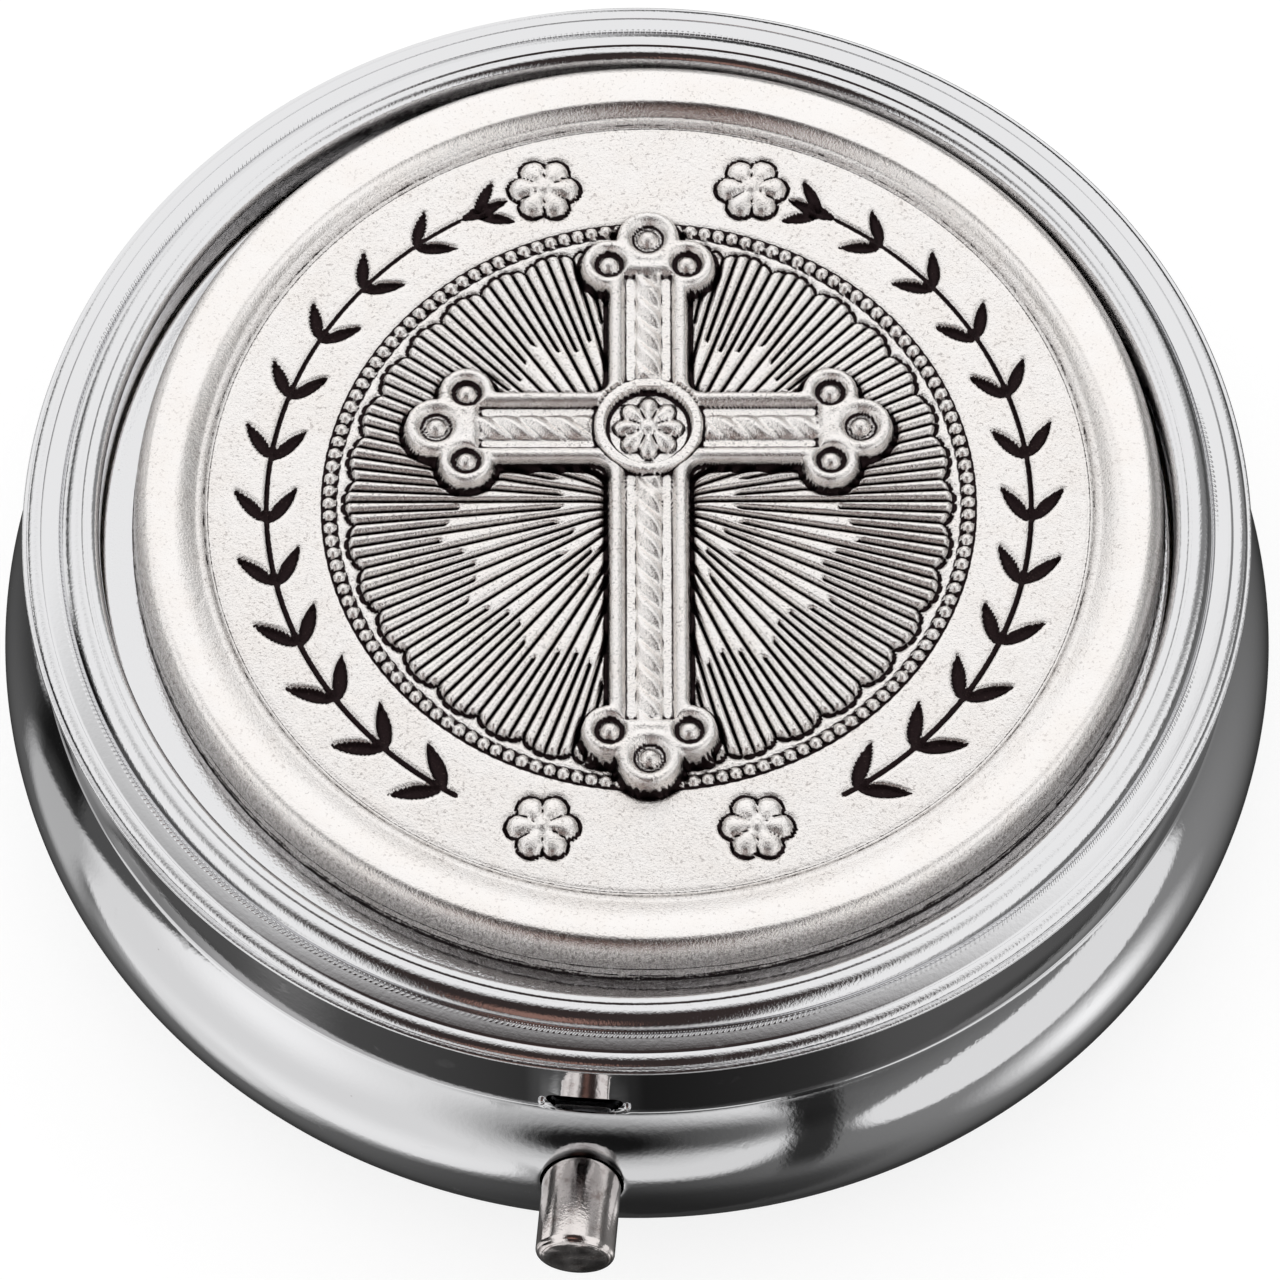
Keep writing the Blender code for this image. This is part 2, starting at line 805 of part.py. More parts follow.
def push_button(parts, nickel):
    """Turned button that stands out of the bowl, with its flange and stem inside."""
    button = turned("push_button", button_profile(), ROD_SIDES, parts, nickel)
    button.rotation_euler = (math.pi / 2, 0, 0)
    button.location = (0, 0, button_height)
    return button


def latch_slide(parts, cutters, steel):
    """Flat strip on the button's stem whose finger ends in the nose that holds the lid."""
    half = SLIDE_WIDTH / 2
    shoulder = nose_floor - FINGER_LENGTH
    strip = block(
        "latch_slide",
        (-half, -slide_face, button_height - SLIDE_BELOW),
        (half, -slide_back, shoulder),
        parts,
        steel,
    )
    finger_half = FINGER_WIDTH / 2
    nose_top = nose_floor + NOSE_HEIGHT
    finger = block(
        "latch_finger",
        (-finger_half, -slide_face, shoulder - SLIDE_SHEET),
        (finger_half, -slide_back - BOND_GAP, nose_top),
        cutters,
    )
    tip = slide_face + NOSE_REACH
    nose_points = [
        (-tip, nose_floor),
        (-slide_back - 2 * BOND_GAP, nose_floor),
        (-slide_back - 2 * BOND_GAP, nose_top - BOND_GAP),
        (-slide_face, nose_top - BOND_GAP),
        (-tip, nose_floor + NOSE_TIP_HEIGHT),
    ]
    nose = outline_solid(
        "latch_nose",
        nose_points,
        -finger_half + BOND_GAP,
        finger_half - BOND_GAP,
        cutters,
    )
    nose.rotation_euler = (math.pi / 2, 0, math.pi / 2)
    join(strip, finger, nose)
    stem_hole = rod(
        "slide_hole",
        (0, -slide_face - CUT_OVERRUN, button_height),
        (0, -slide_back + CUT_OVERRUN, button_height),
        STEM_RADIUS + RUNNING_GAP,
        cutters,
    )
    return cut(strip, stem_hole)


def slide_washer(parts, cutters, steel):
    """Washer under the stem's peened head, on which the coil seats."""
    bore = STEM_RADIUS + RUNNING_GAP
    washer = rod(
        "slide_washer",
        (0, -washer_face, button_height),
        (0, -washer_back, button_height),
        bore + WASHER_WIDTH,
        parts,
        steel,
    )
    hole = rod(
        "washer_hole",
        (0, -washer_face - CUT_OVERRUN, button_height),
        (0, -washer_back + CUT_OVERRUN, button_height),
        bore,
        cutters,
    )
    return cut(washer, hole)


def lid_striker(parts, cutters, steel):
    """Bent plate under the front of the lid, with the window that the nose enters."""
    half = STRIKER_WIDTH / 2
    plate = block(
        "lid_striker",
        (-half, -striker_face, striker_floor),
        (half, -striker_back, leaf_top),
        parts,
        steel,
    )
    foot = block(
        "striker_foot",
        (-half + BOND_GAP, -striker_face + BOND_GAP, leaf_top - STRIKER_SHEET),
        (half - BOND_GAP, -striker_face + STRIKER_FOOT, leaf_top - BOND_GAP),
        cutters,
    )
    window_half = WINDOW_WIDTH / 2
    window_low = nose_floor - SEAT_GAP
    window = block(
        "striker_window",
        (-window_half, -striker_face - CUT_OVERRUN / 2, window_low),
        (window_half, -striker_back + CUT_OVERRUN / 2, window_low + WINDOW_HEIGHT),
        cutters,
    )
    join(plate, foot)
    return cut(plate, window)


def button_spring(parts, wire_steel):
    """Compression spring between the washer and the bracket's bridge."""
    count = round(COIL_TURNS * COIL_POINTS)
    points = []
    for index in range(count + 1):
        angle = 2 * math.pi * COIL_TURNS * index / count
        y = -coil_front + (coil_front - coil_back) * index / count
        points.append((coil_radius * math.cos(angle), y, button_height + coil_radius * math.sin(angle)))
    print("button spring least gap mm:", round(least_gap(points, COIL_WIRE_RADIUS, COIL_POINTS) * 1000, 3))
    return wire("button_spring", points, COIL_WIRE_RADIUS, parts, wire_steel)


def spring_bracket(parts, cutters, steel):
    """Strap spot-welded inside the bowl that backs the button's spring."""
    low = button_height - BRACKET_HEIGHT / 2
    high = button_height + BRACKET_HEIGHT / 2
    leg_inside = BRACKET_GAP / 2
    leg_outside = leg_inside + BRACKET_SHEET
    foot_end = leg_outside + BRACKET_FOOT
    rise = high - EQUATOR_HEIGHT
    wall = bulge_centre + math.sqrt(inner_bulge**2 - rise**2)
    foot_face = math.sqrt(wall**2 - foot_end**2) - SEAT_GAP
    foot_back = foot_face - BRACKET_SHEET
    bracket = block(
        "spring_bracket",
        (-leg_outside, -bridge_face, low),
        (leg_outside, -bridge_back, high),
        parts,
        steel,
    )
    shapes = []
    for side in (-1, 1):
        label = "left" if side < 0 else "right"
        low_x, high_x = sorted((side * leg_inside, side * leg_outside))
        shapes.append(
            block(
                f"bracket_leg_{label}",
                (low_x, -foot_face, low + BOND_GAP),
                (high_x, -bridge_back - BOND_GAP, high - BOND_GAP),
                cutters,
            )
        )
        low_x, high_x = sorted((side * leg_inside, side * foot_end))
        shapes.append(
            block(
                f"bracket_foot_{label}",
                (low_x, -foot_face, low + BOND_GAP),
                (high_x, -foot_back, high - BOND_GAP),
                cutters,
            )
        )
    spigot = rod(
        "bracket_spigot",
        (0, -bridge_face - SPIGOT_LENGTH, button_height),
        (0, -bridge_face + BRACKET_SHEET / 2, button_height),
        SPIGOT_RADIUS,
        cutters,
    )
    return join(bracket, *shapes, spigot)


def build():
    """Model every piece and hang the moving ones on their axes."""
    clear_scene()
    parts = collection(COLLECTION)
    cutters = collection(CUTTER_COLLECTION)
    chrome = metal("chrome", (0.80, 0.80, 0.81), 0.06)
    bright_steel = metal("bright_steel", (0.72, 0.72, 0.72), 0.25)
    silver = metal("antique_silver", (0.86, 0.83, 0.80), 0.35)
    nickel = metal("nickel", (0.74, 0.71, 0.69), 0.2)
    spring_steel = metal("spring_steel", (0.45, 0.46, 0.48), 0.3)
    resin = metal("resin", (0.75, 0.72, 0.60), 0.5, 0.0)

    base_bowl(parts, cutters, chrome)
    inner_pan(parts, cutters, bright_steel)
    base_hinge_leaf(parts, cutters, bright_steel)
    hinge_pin(parts, cutters, bright_steel)
    hinge_spring(parts, spring_steel)
    button_spring(parts, spring_steel)
    spring_bracket(parts, cutters, bright_steel)

    lid_axis = empty("lid_axis", (0, hinge_y, hinge_height), parts)
    lid_shell = shell("lid_shell", lid_profile(), LID_SHEET, SHELL_STEPS, parts, chrome)
    lid_pieces = [
        lid_shell,
        lid_inner_plate(parts, bright_steel),
        medallion(parts, cutters, silver),
        medallion_adhesive(parts, resin),
        lid_hinge_leaf(parts, cutters, bright_steel),
        lid_striker(parts, cutters, bright_steel),
    ]
    carry(lid_axis, lid_pieces)

    button_axis = empty("button_axis", (0, -button_wall, button_height), parts)
    button_pieces = [
        push_button(parts, nickel),
        latch_slide(parts, cutters, spring_steel),
        slide_washer(parts, cutters, bright_steel),
    ]
    carry(button_axis, button_pieces)


build()
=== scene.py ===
"""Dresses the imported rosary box: plated shells, cast medallion, button, springs and the studio.

Lengths are metres, +Z is up, the button faces -Y and the hinge lies at +Y.
The file is laid out as an add-on whose operators each make one piece or a group of like pieces.
"""

import json
import math

import bmesh
import bpy
import numpy as np
from bpy.props import FloatProperty, FloatVectorProperty, IntProperty, PointerProperty
from bpy.types import Operator, Panel, PropertyGroup
from mathutils import Matrix, Vector


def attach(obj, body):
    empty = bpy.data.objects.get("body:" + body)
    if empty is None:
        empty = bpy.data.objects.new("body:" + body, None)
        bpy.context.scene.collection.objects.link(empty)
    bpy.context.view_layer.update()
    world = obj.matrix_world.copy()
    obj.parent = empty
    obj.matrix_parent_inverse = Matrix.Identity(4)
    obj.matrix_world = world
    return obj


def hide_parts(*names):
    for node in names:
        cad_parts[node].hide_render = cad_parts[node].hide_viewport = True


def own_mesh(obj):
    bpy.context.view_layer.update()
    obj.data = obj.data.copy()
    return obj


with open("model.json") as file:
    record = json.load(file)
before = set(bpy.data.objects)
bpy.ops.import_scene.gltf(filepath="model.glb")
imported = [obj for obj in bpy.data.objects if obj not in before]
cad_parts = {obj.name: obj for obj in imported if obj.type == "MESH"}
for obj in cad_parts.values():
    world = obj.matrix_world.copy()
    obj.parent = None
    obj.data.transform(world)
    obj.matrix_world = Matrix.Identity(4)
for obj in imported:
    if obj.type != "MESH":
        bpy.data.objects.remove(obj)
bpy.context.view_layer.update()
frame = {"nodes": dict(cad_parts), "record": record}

bl_info = {
    "name": "Rosary box dresser",
    "version": (1, 0, 0),
    "blender": (4, 5, 0),
    "location": "View3D > Sidebar > Rosary box",
    "description": "Makes the visible pieces, finishes and studio of a round keepsake box",
    "category": "Object",
}

QUARTER_TURN = math.pi / 2
HALF_TURN = math.pi
FULL_TURN = 2 * math.pi
FRONT = -QUARTER_TURN
PICTURE_SIDE = 1280
# Where the middle of the lid's top lies in the picture
LID_IN_PICTURE = (637.0, 519.3)
# Places of the colour sockets on a Mix node
COLOUR_A = 6
COLOUR_B = 7
COLOUR_RESULT = 2
DUST = (0.30, 0.27, 0.25)


def length(name, description, default):
    """A length that a user may change."""
    return FloatProperty(name=name, description=description, default=default, unit="LENGTH", precision=5)


def angle(name, description, degrees):
    """An angle that a user may change, given in degrees."""
    return FloatProperty(name=name, description=description, default=math.radians(degrees), unit="ROTATION")


def tint(name, description, default):
    """A plain colour that a user may change."""
    return FloatVectorProperty(name=name, description=description, default=default, subtype="COLOR", size=3)


def share(name, description, default):
    """A value between nothing and all."""
    return FloatProperty(name=name, description=description, default=default, min=0, max=1, subtype="FACTOR")


class BowlSizes(PropertyGroup):
    """Sizes of the pressed bowl."""

    bulge_centre: length("Bulge centre", "Radius at which the bulge is struck", 0.0178)
    bulge_radius: length("Bulge radius", "Radius of the bulge in section", 0.0076)
    equator: length("Equator", "Height of the widest ring", 0.0070)
    neck: length("Neck", "Outer radius of the neck", 0.02385)
    neck_top: length("Neck top", "Height of the neck's edge", 0.0157)
    wall: length("Wall", "Thickness of the sheet", 0.0004)
    crease: length("Crease", "Height of the crease between bulge and neck", 0.01160)
    hood_width: length("Hood width", "Width of the latch hood", 0.0036)
    hood_reach: length("Hood reach", "How far the hood stands out of the neck", 0.00020)
    slot_width: length("Slot width", "Width of the latch slot", 0.0030)
    slot_top: length("Slot top", "Height of the slot's upper edge", 0.01312)
    notch_half: length("Notch half width", "Half the width of the hinge notch", 0.0049)
    notch_floor: length("Notch floor", "Height of the hinge notch's floor", 0.0125)
    hole: length("Hole", "Radius of the button hole", 0.00165)
    hole_height: length("Hole height", "Height of the button hole's axis", 0.0081)


class LidSizes(PropertyGroup):
    """Sizes of the pressed lid and its lining."""

    edge: length("Edge", "Outer radius of the lid's lip", 0.02428)
    skirt: length("Skirt", "Outer radius of the skirt above the lip", 0.02410)
    lip: length("Lip", "Height of the lip's edge", 0.01560)
    top: length("Top", "Height of the annulus beside the bead", 0.01622)
    groove: length("Groove", "Radius of the fine groove outside the bead", 0.02266)
    crown: length("Bead crown", "Radius of the bead's crown", 0.02196)
    crown_height: length("Bead height", "Height of the bead's crown", 0.0167)
    bead_outer: length("Bead outer curve", "Section radius of the bead's outer side", 0.00086)
    bead_inner: length("Bead inner curve", "Section radius of the bead's inner side", 0.00046)
    wall: length("Recess wall", "Radius of the recess in which the medallion lies", 0.0212)
    shoulder: length("Shoulder", "Radius of the crease where the rolled shoulder starts", 0.02355)
    slope: angle("Slope", "Fall of the annulus outwards", 8.5)
    sag: FloatProperty(name="Sag", description="How the annulus falls off, per metre", default=52.0)
    floor: length("Recess floor", "Height of the recess in which the medallion lies", 0.0147)
    sheet: length("Sheet", "Thickness of the lid", 0.00035)
    lining: length("Lining radius", "Outer radius of the inner plate", 0.02195)
    lining_low: length("Lining low", "Height of the inner plate's face", 0.01395)
    lining_top: length("Lining top", "Height of the inner plate's edge", 0.01545)


class MedallionSizes(PropertyGroup):
    """Sizes of the cast medallion and its relief."""

    shift: FloatVectorProperty(
        name="Shift",
        description="Where the medallion's centre lies in the recess",
        default=(0.00042, 0.00060, 0),
        unit="LENGTH",
        size=3,
    )
    turn: angle("Turn", "Turn about Z", 5)
    radius: length("Radius", "Radius of the foot", 0.02044)
    base: length("Base", "Height of its back", 0.0150)
    field: length("Field", "Height of the flat field", 0.01652)
    rim: length("Rim", "Height of the rim's flat", 0.01713)
    field_radius: length("Field radius", "Radius of the circle inside the rim", 0.01755)
    ground_radius: length("Ground radius", "Radius of the rayed ground", 0.0120)
    outer_split: length("Outer split", "Radius inside which every other ray ends", 0.0086)
    inner_split: length("Inner split", "Radius inside which three of four rays end", 0.0044)
    split_depth: length("Split depth", "How far the ends of short rays swing inwards", 0.0012)
    ribs: IntProperty(name="Rays", description="Rays round the ground", default=144, min=12)
    beads: IntProperty(name="Beads", description="Beads in the ring", default=140, min=12)
    spray: length("Spray", "Radius on which the leaf sprays lie", 0.0151)
    leaves: IntProperty(name="Leaves", description="Pairs of leaves on a spray", default=12, min=3)


class PanSizes(PropertyGroup):
    """Sizes of the dish inside the bowl."""

    floor: length("Floor", "Height of the dish's underside", 0.0005)
    wall: length("Wall", "Outer radius of the dish's wall", 0.0190)
    sheet: length("Sheet", "Thickness of the dish", 0.00035)
    corner: length("Corner", "Radius between floor and wall", 0.0024)
    flange: length("Flange", "Height of the flange's underside", 0.01265)
    edge: length("Edge", "Outer radius of the flange", 0.02315)


class ButtonSizes(PropertyGroup):
    """Sizes of the push button."""

    tip: length("Tip", "Distance of the button's face from the middle of the box", 0.028557)
    radius: length("Radius", "Radius of the part that is pressed", 0.00155)
    edge: length("Edge", "Radius of the face's rounded edge", 0.00028)
    flange: length("Flange", "Distance of the flange's face from the middle of the box", 0.023806)
    flange_radius: length("Flange radius", "Radius of the flange behind the hole", 0.00195)
    stem: length("Stem", "Radius of the stem that holds the latch slide", 0.0006)


class SpringSizes(PropertyGroup):
    """Sizes of the hinge spring and the button spring."""

    hinge_y: length("Hinge", "Distance of the hinge's axis from the middle of the box", 0.02425)
    hinge_z: length("Hinge height", "Height of the hinge's axis", 0.0135)
    hinge_coil: length("Hinge coil", "Radius of the hinge spring's coil", 0.00065)
    hinge_wire: length("Hinge wire", "Radius of the hinge spring's wire", 0.000125)
    button_coil: length("Button coil", "Radius of the button spring's coil", 0.0011)
    button_wire: length("Button wire", "Radius of the button spring's wire", 0.00015)


class FinishColours(PropertyGroup):
    """Colours of the metals."""

    chrome: tint("Chrome", "Plating of the shells", (0.775, 0.775, 0.785))
    silver: tint("Silver", "Bright plating of the medallion", (0.955, 0.925, 0.905))
    # Also the colour of the painted shade at the medallion's foot.
    oxide_and_shade: tint("Oxide", "Blackened recesses", (0.022, 0.014, 0.015))
    nickel: tint("Nickel", "Plating of the button", (0.80, 0.75, 0.73))
    steel: tint("Steel", "Plated small parts", (0.70, 0.70, 0.70))
    spring: tint("Spring steel", "Springs and latch", (0.42, 0.43, 0.45))


class StudioSettings(PropertyGroup):
    """Camera and surroundings."""

    azimuth: angle("Azimuth", "Camera azimuth", 4.9)
    elevation: angle("Elevation", "Camera elevation", 60.05)
    distance: length("Distance", "Camera distance from the lid's middle", 0.400)
    scale: FloatProperty(name="Scale", description="Picture points per metre at the lid", default=25350.0)
    white: share("White", "Brightness of the surroundings", 1.0)


GROUPS = {
    "rosary_bowl": BowlSizes,
    "rosary_lid": LidSizes,
    "rosary_medallion": MedallionSizes,
    "rosary_pan": PanSizes,
    "rosary_button": ButtonSizes,
    "rosary_springs": SpringSizes,
    "rosary_colours": FinishColours,
    "rosary_studio": StudioSettings,
}


# Rows of the tent: azimuth and elevation of the centre, half width, half height and lean in degrees, then
# squareness and softness, and last the brightness of a window or the darkness of a card or shade
WINDOWS = (
    (75, -28, 52, 36, 0, 2, 0.75, 0.26),
    (-75, -50, 50, 22, 0, 2, 0.8, 0.15),
    (-49, -19, 38, 32, 0, 5, 0.05, 0.83),
    (-44, -44, 32, 8, 6, 2, 0.9, 0.98),
    (-96, -34, 8, 19, -30, 3, 0.35, 0.50),
    (-66, -52, 12, 7, 0, 2, 0.8, 0.80),
    (-50, -3, 16, 11, 0, 2, 0.95, 1.08),
    (5, -12, 21.5, 29, 0, 2.6, 0.10, 0.80),
    (64, -16, 29, 12.5, 15, 2.6, 0.07, 0.88),
    (78, -42, 14, 9, 0, 2, 0.9, 1.1),
)
CARDS = (
    (-1, -11, 10, 9.5, 0, 2, 0.45, 0.98),
    (-1, -8, 17, 16, 0, 2, 0.6, 0.60),
    (13, -8, 17, 9, 0, 2, 0.6, 0.80),
)
SHADES = (
    (95, 10, 38, 9, 0, 2.5, 0.5, 0.85),
    (-95, 10, 38, 9, 0, 2.5, 0.5, 0.85),
    (128, 30, 14, 26, 20, 2, 0.6, 0.75),
    (-121, 8, 14, 20, 0, 3, 0.5, 0.82),
    (-95, 63, 40, 8, 0, 2, 0.8, 0.45),
)
BAR = (29.5, -12, 3.4, 32, 0, 6, 0.3)
UNDER_CAMERA = (21, -75, 27, 24, 0, 4, 0.3)
PERSON = (-3, 55, 25, 43, 0, 4, 0.26)
WARM_SIDE = (-9, 36, 9, 14, 0, 2, 0.6)

# Shader expressions


class Value:
    """A number socket of a shader tree, on which plain arithmetic adds Math nodes."""

    def __init__(self, finish, socket):
        self.finish = finish
        self.socket = socket

    def maths(self, operation, *others):
        """Add a Math node that takes this value first."""
        return self.finish.add("ShaderNodeMath", {"operation": operation}, [self, *others])

    def __add__(self, other):
        return self.maths("ADD", other)

    __radd__ = __add__

    def __sub__(self, other):
        return self.maths("SUBTRACT", other)

    def __rsub__(self, other):
        return self.finish.add("ShaderNodeMath", {"operation": "SUBTRACT"}, [other, self])

    def __mul__(self, other):
        return self.maths("MULTIPLY", other)

    __rmul__ = __mul__

    def __truediv__(self, other):
        return self.maths("DIVIDE", other)

    def __pow__(self, other):
        return self.maths("POWER", other)

    def __rpow__(self, other):
        return self.finish.add("ShaderNodeMath", {"operation": "POWER"}, [other, self])

    def __neg__(self):
        return self * -1


class Finish:
    """A procedural material that is put together one node at a time."""

    def __init__(self, name, **constants):
        self.material = bpy.data.materials.new(name)
        self.material.use_nodes = True
        self.tree = self.material.node_tree
        self.shader = self.tree.nodes["Principled BSDF"]
        for socket, value in constants.items():
            self.set(socket.replace("_", " ").title(), value)

    def set(self, socket, value):
        """Give one socket of the shader a number, a colour or a link."""
        self.feed(self.shader.inputs[socket], value)

    def feed(self, socket, value):
        """Link or set a socket."""
        if isinstance(value, Value):
            self.tree.links.new(value.socket, socket)
        elif isinstance(value, bpy.types.NodeSocket):
            self.tree.links.new(value, socket)
        elif socket.type == "RGBA" and len(value) == 3:
            socket.default_value = (*value, 1.0)
        else:
            socket.default_value = value

    def node(self, kind, settings=None, sockets=()):
        """Add a node: its settings first, then its sockets by name or in order."""
        node = self.tree.nodes.new(kind)
        for key, value in (settings or {}).items():
            setattr(node, key, value)
        pairs = sockets.items() if isinstance(sockets, dict) else enumerate(sockets)
        for key, value in pairs:
            self.feed(node.inputs[key], value)
        return node

    def add(self, kind, settings=None, sockets=(), output=0):
        """Add a node and return one of its outputs as a value."""
        return Value(self, self.node(kind, settings, sockets).outputs[output])

    def number(self, amount):
        """A plain number as a value."""
        value = self.add("ShaderNodeValue")
        value.socket.default_value = amount
        return value

    def turn(self, up, across):
        """Angle of a direction from its two parts."""
        return self.add("ShaderNodeMath", {"operation": "ARCTAN2"}, [up, across])

    def place(self):
        """Coordinates that are fixed to the piece, in metres."""
        return self.add("ShaderNodeTexCoord", output="Object")

    def layer(self, name):
        """A value that the mesh carries at each of its points."""
        return self.add("ShaderNodeAttribute", {"attribute_name": name}, output="Fac")

    def polar(self, x, y):
        """Distance from the Z axis and angle round it."""
        return (x * x + y * y) ** 0.5, self.turn(y, x)

    def parts(self, vector):
        """The X, Y and Z of a vector."""
        node = self.node("ShaderNodeSeparateXYZ", sockets=[vector])
        return [Value(self, node.outputs[axis]) for axis in range(3)]

    def vector(self, x, y, z):
        """A vector from three values."""
        return self.add("ShaderNodeCombineXYZ", sockets=[x, y, z])

    def noise(self, place, size, detail=2.0, roughness=0.5):
        """Noise whose lumps are about one size across."""
        sockets = {"Vector": place, "Scale": 1 / size, "Detail": detail, "Roughness": roughness}
        return self.add("ShaderNodeTexNoise", {"noise_dimensions": "3D"}, sockets)

    def cells(self, place, size):
        """Distance to the nearest of scattered points about one size apart."""
        return self.add("ShaderNodeTexVoronoi", {"feature": "F1"}, {"Vector": place, "Scale": 1 / size})

    def step(self, value, low, high):
        """Rise smoothly from nothing at one value to all at another."""
        sockets = {"Value": value, "From Min": low, "From Max": high}
        return self.add("ShaderNodeMapRange", {"interpolation_type": "SMOOTHSTEP"}, sockets)

    def mix(self, factor, first, second):
        """Mix two colours."""
        sockets = {"Factor": factor, COLOUR_A: first, COLOUR_B: second}
        return self.node("ShaderNodeMix", {"data_type": "RGBA"}, sockets).outputs[COLOUR_RESULT]

    def bump(self, height, reach, under=None):
        """Turn a height between 0 and 1 into a normal, with the reach of that height in metres."""
        sockets = {"Height": height, "Distance": reach, "Strength": 1.0}
        if under is not None:
            sockets["Normal"] = under
        return self.node("ShaderNodeBump", sockets=sockets).outputs[0]


def scratches(finish, place, turn, spacing, width):
    """Fine straight scratches in one direction, as a mask."""
    turned = finish.add(
        "ShaderNodeMapping",
        {"vector_type": "POINT"},
        {"Vector": place, "Rotation": (0.4 * turn, 0.3, turn), "Scale": (1, 0.035, 1)},
    )
    line = finish.noise(turned, spacing, detail=1.0)
    broken = finish.noise(place, spacing * 1.7, detail=1.0)
    return finish.step(line, 0.66, 0.66 + width) * finish.step(broken, 0.56, 0.64)


def worn_mirror(finish, place, colour, lines, dust_spacing, dust_size):
    """Colour and roughness of a handled mirror with smears and dust; returns its scratches."""
    scores = sum(scratches(finish, place, *line) for line in lines)
    dust = 1 - finish.step(finish.cells(place, dust_spacing), 0.0, dust_size)
    smear = finish.noise(place, 0.006, detail=3.0, roughness=0.6)
    finish.set("Base Color", finish.mix(dust * 0.5, colour, DUST))
    finish.set("Roughness", 0.035 + smear * 0.035 + scores * 0.12 + dust * 0.3)
    return scores


def chrome_finish(colours, sizes):
    """Mirror chromium on pressed sheet, with orange peel, faint scratches, dust, and painted shade on the
    neck under the lid.
    """
    finish = Finish("chrome_plate", metallic=1.0)
    place = finish.place()
    x, y, z = finish.parts(place)
    off_middle = x.maths("ABSOLUTE")
    over_crease = z - sizes.crease
    hood = (1 - finish.step(off_middle, 0.0018, 0.0024)) * y.maths("LESS_THAN", 0.0)
    # Painted shade: the neck above the crease is darkened, apart from the latch hood, and nearly black low
    # on its sides.
    neck_shade = finish.step(over_crease, 0.00004, 0.00016) * (1 - hood)
    side = finish.step(off_middle, 0.0130, 0.0180)
    low = 1 - finish.step(over_crease, 0.0009, 0.0019)
    neck_shade_colour = finish.mix(side * low, (0.40, 0.395, 0.40), (0.04, 0.04, 0.04))
    plated = finish.mix(neck_shade, colours.chrome, neck_shade_colour)
    lines = ((0.7, 0.0011, 0.05), (2.3, 0.0014, 0.04))
    scores = worn_mirror(finish, place, plated, lines, 0.0019, 0.035)
    peel = finish.noise(place, 0.00022, detail=2.0)
    waves = finish.noise(place, 0.0016, detail=1.0)
    fine = finish.bump(peel, 0.0000022)
    broad = finish.bump(waves, 0.000004, fine)
    finish.set("Normal", finish.bump(scores, -0.0000012, broad))
    return finish.material


def lid_finish(colours, sizes):
    """The lid's chromium, with the knurl-like marks that the rolling tool left beside the bead."""
    finish = Finish("chrome_lid", metallic=1.0)
    place = finish.place()
    x, y, z = finish.parts(place)
    radius, angle = finish.polar(x, y)
    lines = ((0.3, 0.0012, 0.05), (1.9, 0.0016, 0.04))
    scores = worn_mirror(finish, place, colours.chrome, lines, 0.0021, 0.03)
    lean = (radius - sizes.groove) * 9000.0
    teeth = finish.step((angle * 640.0 + lean * 2.2).maths("SINE"), -0.4, 0.6)
    inner = finish.step(radius, sizes.groove + 0.00002, sizes.groove + 0.00008)
    outer = 1 - finish.step(radius, sizes.groove + 0.00022, sizes.groove + 0.00030)
    patch = finish.step(finish.noise(place, 0.012, detail=1.0), 0.40, 0.62)
    knurl = teeth * inner * outer * patch
    rings = finish.noise(finish.vector(radius * 9.0, angle * 0.0006, z), 0.0009, detail=2.0)
    peel = finish.noise(place, 0.00020, detail=2.0)
    rough_band = finish.step(radius, sizes.shoulder - 0.00004, sizes.shoulder + 0.00004)
    rough_band = rough_band + (1 - finish.step(radius, sizes.groove - 0.0001, sizes.groove - 0.00002)) * 0.8
    grit = finish.noise(place, 0.00011, detail=2.0, roughness=0.6) * (rough_band + 0.15)
    fine = finish.bump(grit, 0.0000085, finish.bump(peel, 0.0000020))
    turned = finish.bump(rings, 0.0000010, fine)
    marked = finish.bump(knurl, 0.000018, turned)
    finish.set("Normal", finish.bump(scores, -0.0000012, marked))
    return finish.material


def ray_grooves(finish, sizes, radius, angle, speckle):
    """Mask of the blackened grooves between the rays of the medallion's ground."""
    swing = (angle * 8).maths("COSINE").maths("ABSOLUTE") * sizes.split_depth
    past_inner = radius.maths("GREATER_THAN", sizes.inner_split - swing)
    past_outer = radius.maths("GREATER_THAN", sizes.outer_split - swing)
    rays = 2 ** (past_inner + past_outer) * (sizes.ribs / 4)
    phase = angle * rays / FULL_TURN
    gap = (phase - phase.maths("ROUND")).maths("ABSOLUTE") * radius * FULL_TURN / rays
    valley = 1 - finish.step(gap + (speckle - 0.5) * 0.00007, 0.00004, 0.00009)
    return valley * finish.step(finish.layer("rayed"), 0.4, 0.8)


def silver_specks(finish, place, cast, casting, blot, hair):
    """Mask of the crumbs and pits on the field and of the grains on the raw casting."""
    pits = finish.step(finish.noise(place, 0.00040, detail=4.0, roughness=0.75), 0.60, 0.70)
    grains = finish.noise(place, 0.00012, detail=2.0, roughness=0.65)
    shaded = finish.step(hair, 0.50, 0.60) * 0.5 + finish.step(grains, 0.50, 0.60) * 0.5
    crumbs = finish.step(finish.noise(place, 0.00016, detail=3.0, roughness=0.7) + blot * 0.16, 0.655, 0.745)
    on_field = crumbs * (0.12 + cast * 0.75) * (1 - casting)
    return (on_field + pits * cast * 0.16 + shaded * casting * 0.7).maths("MINIMUM", 1.0)


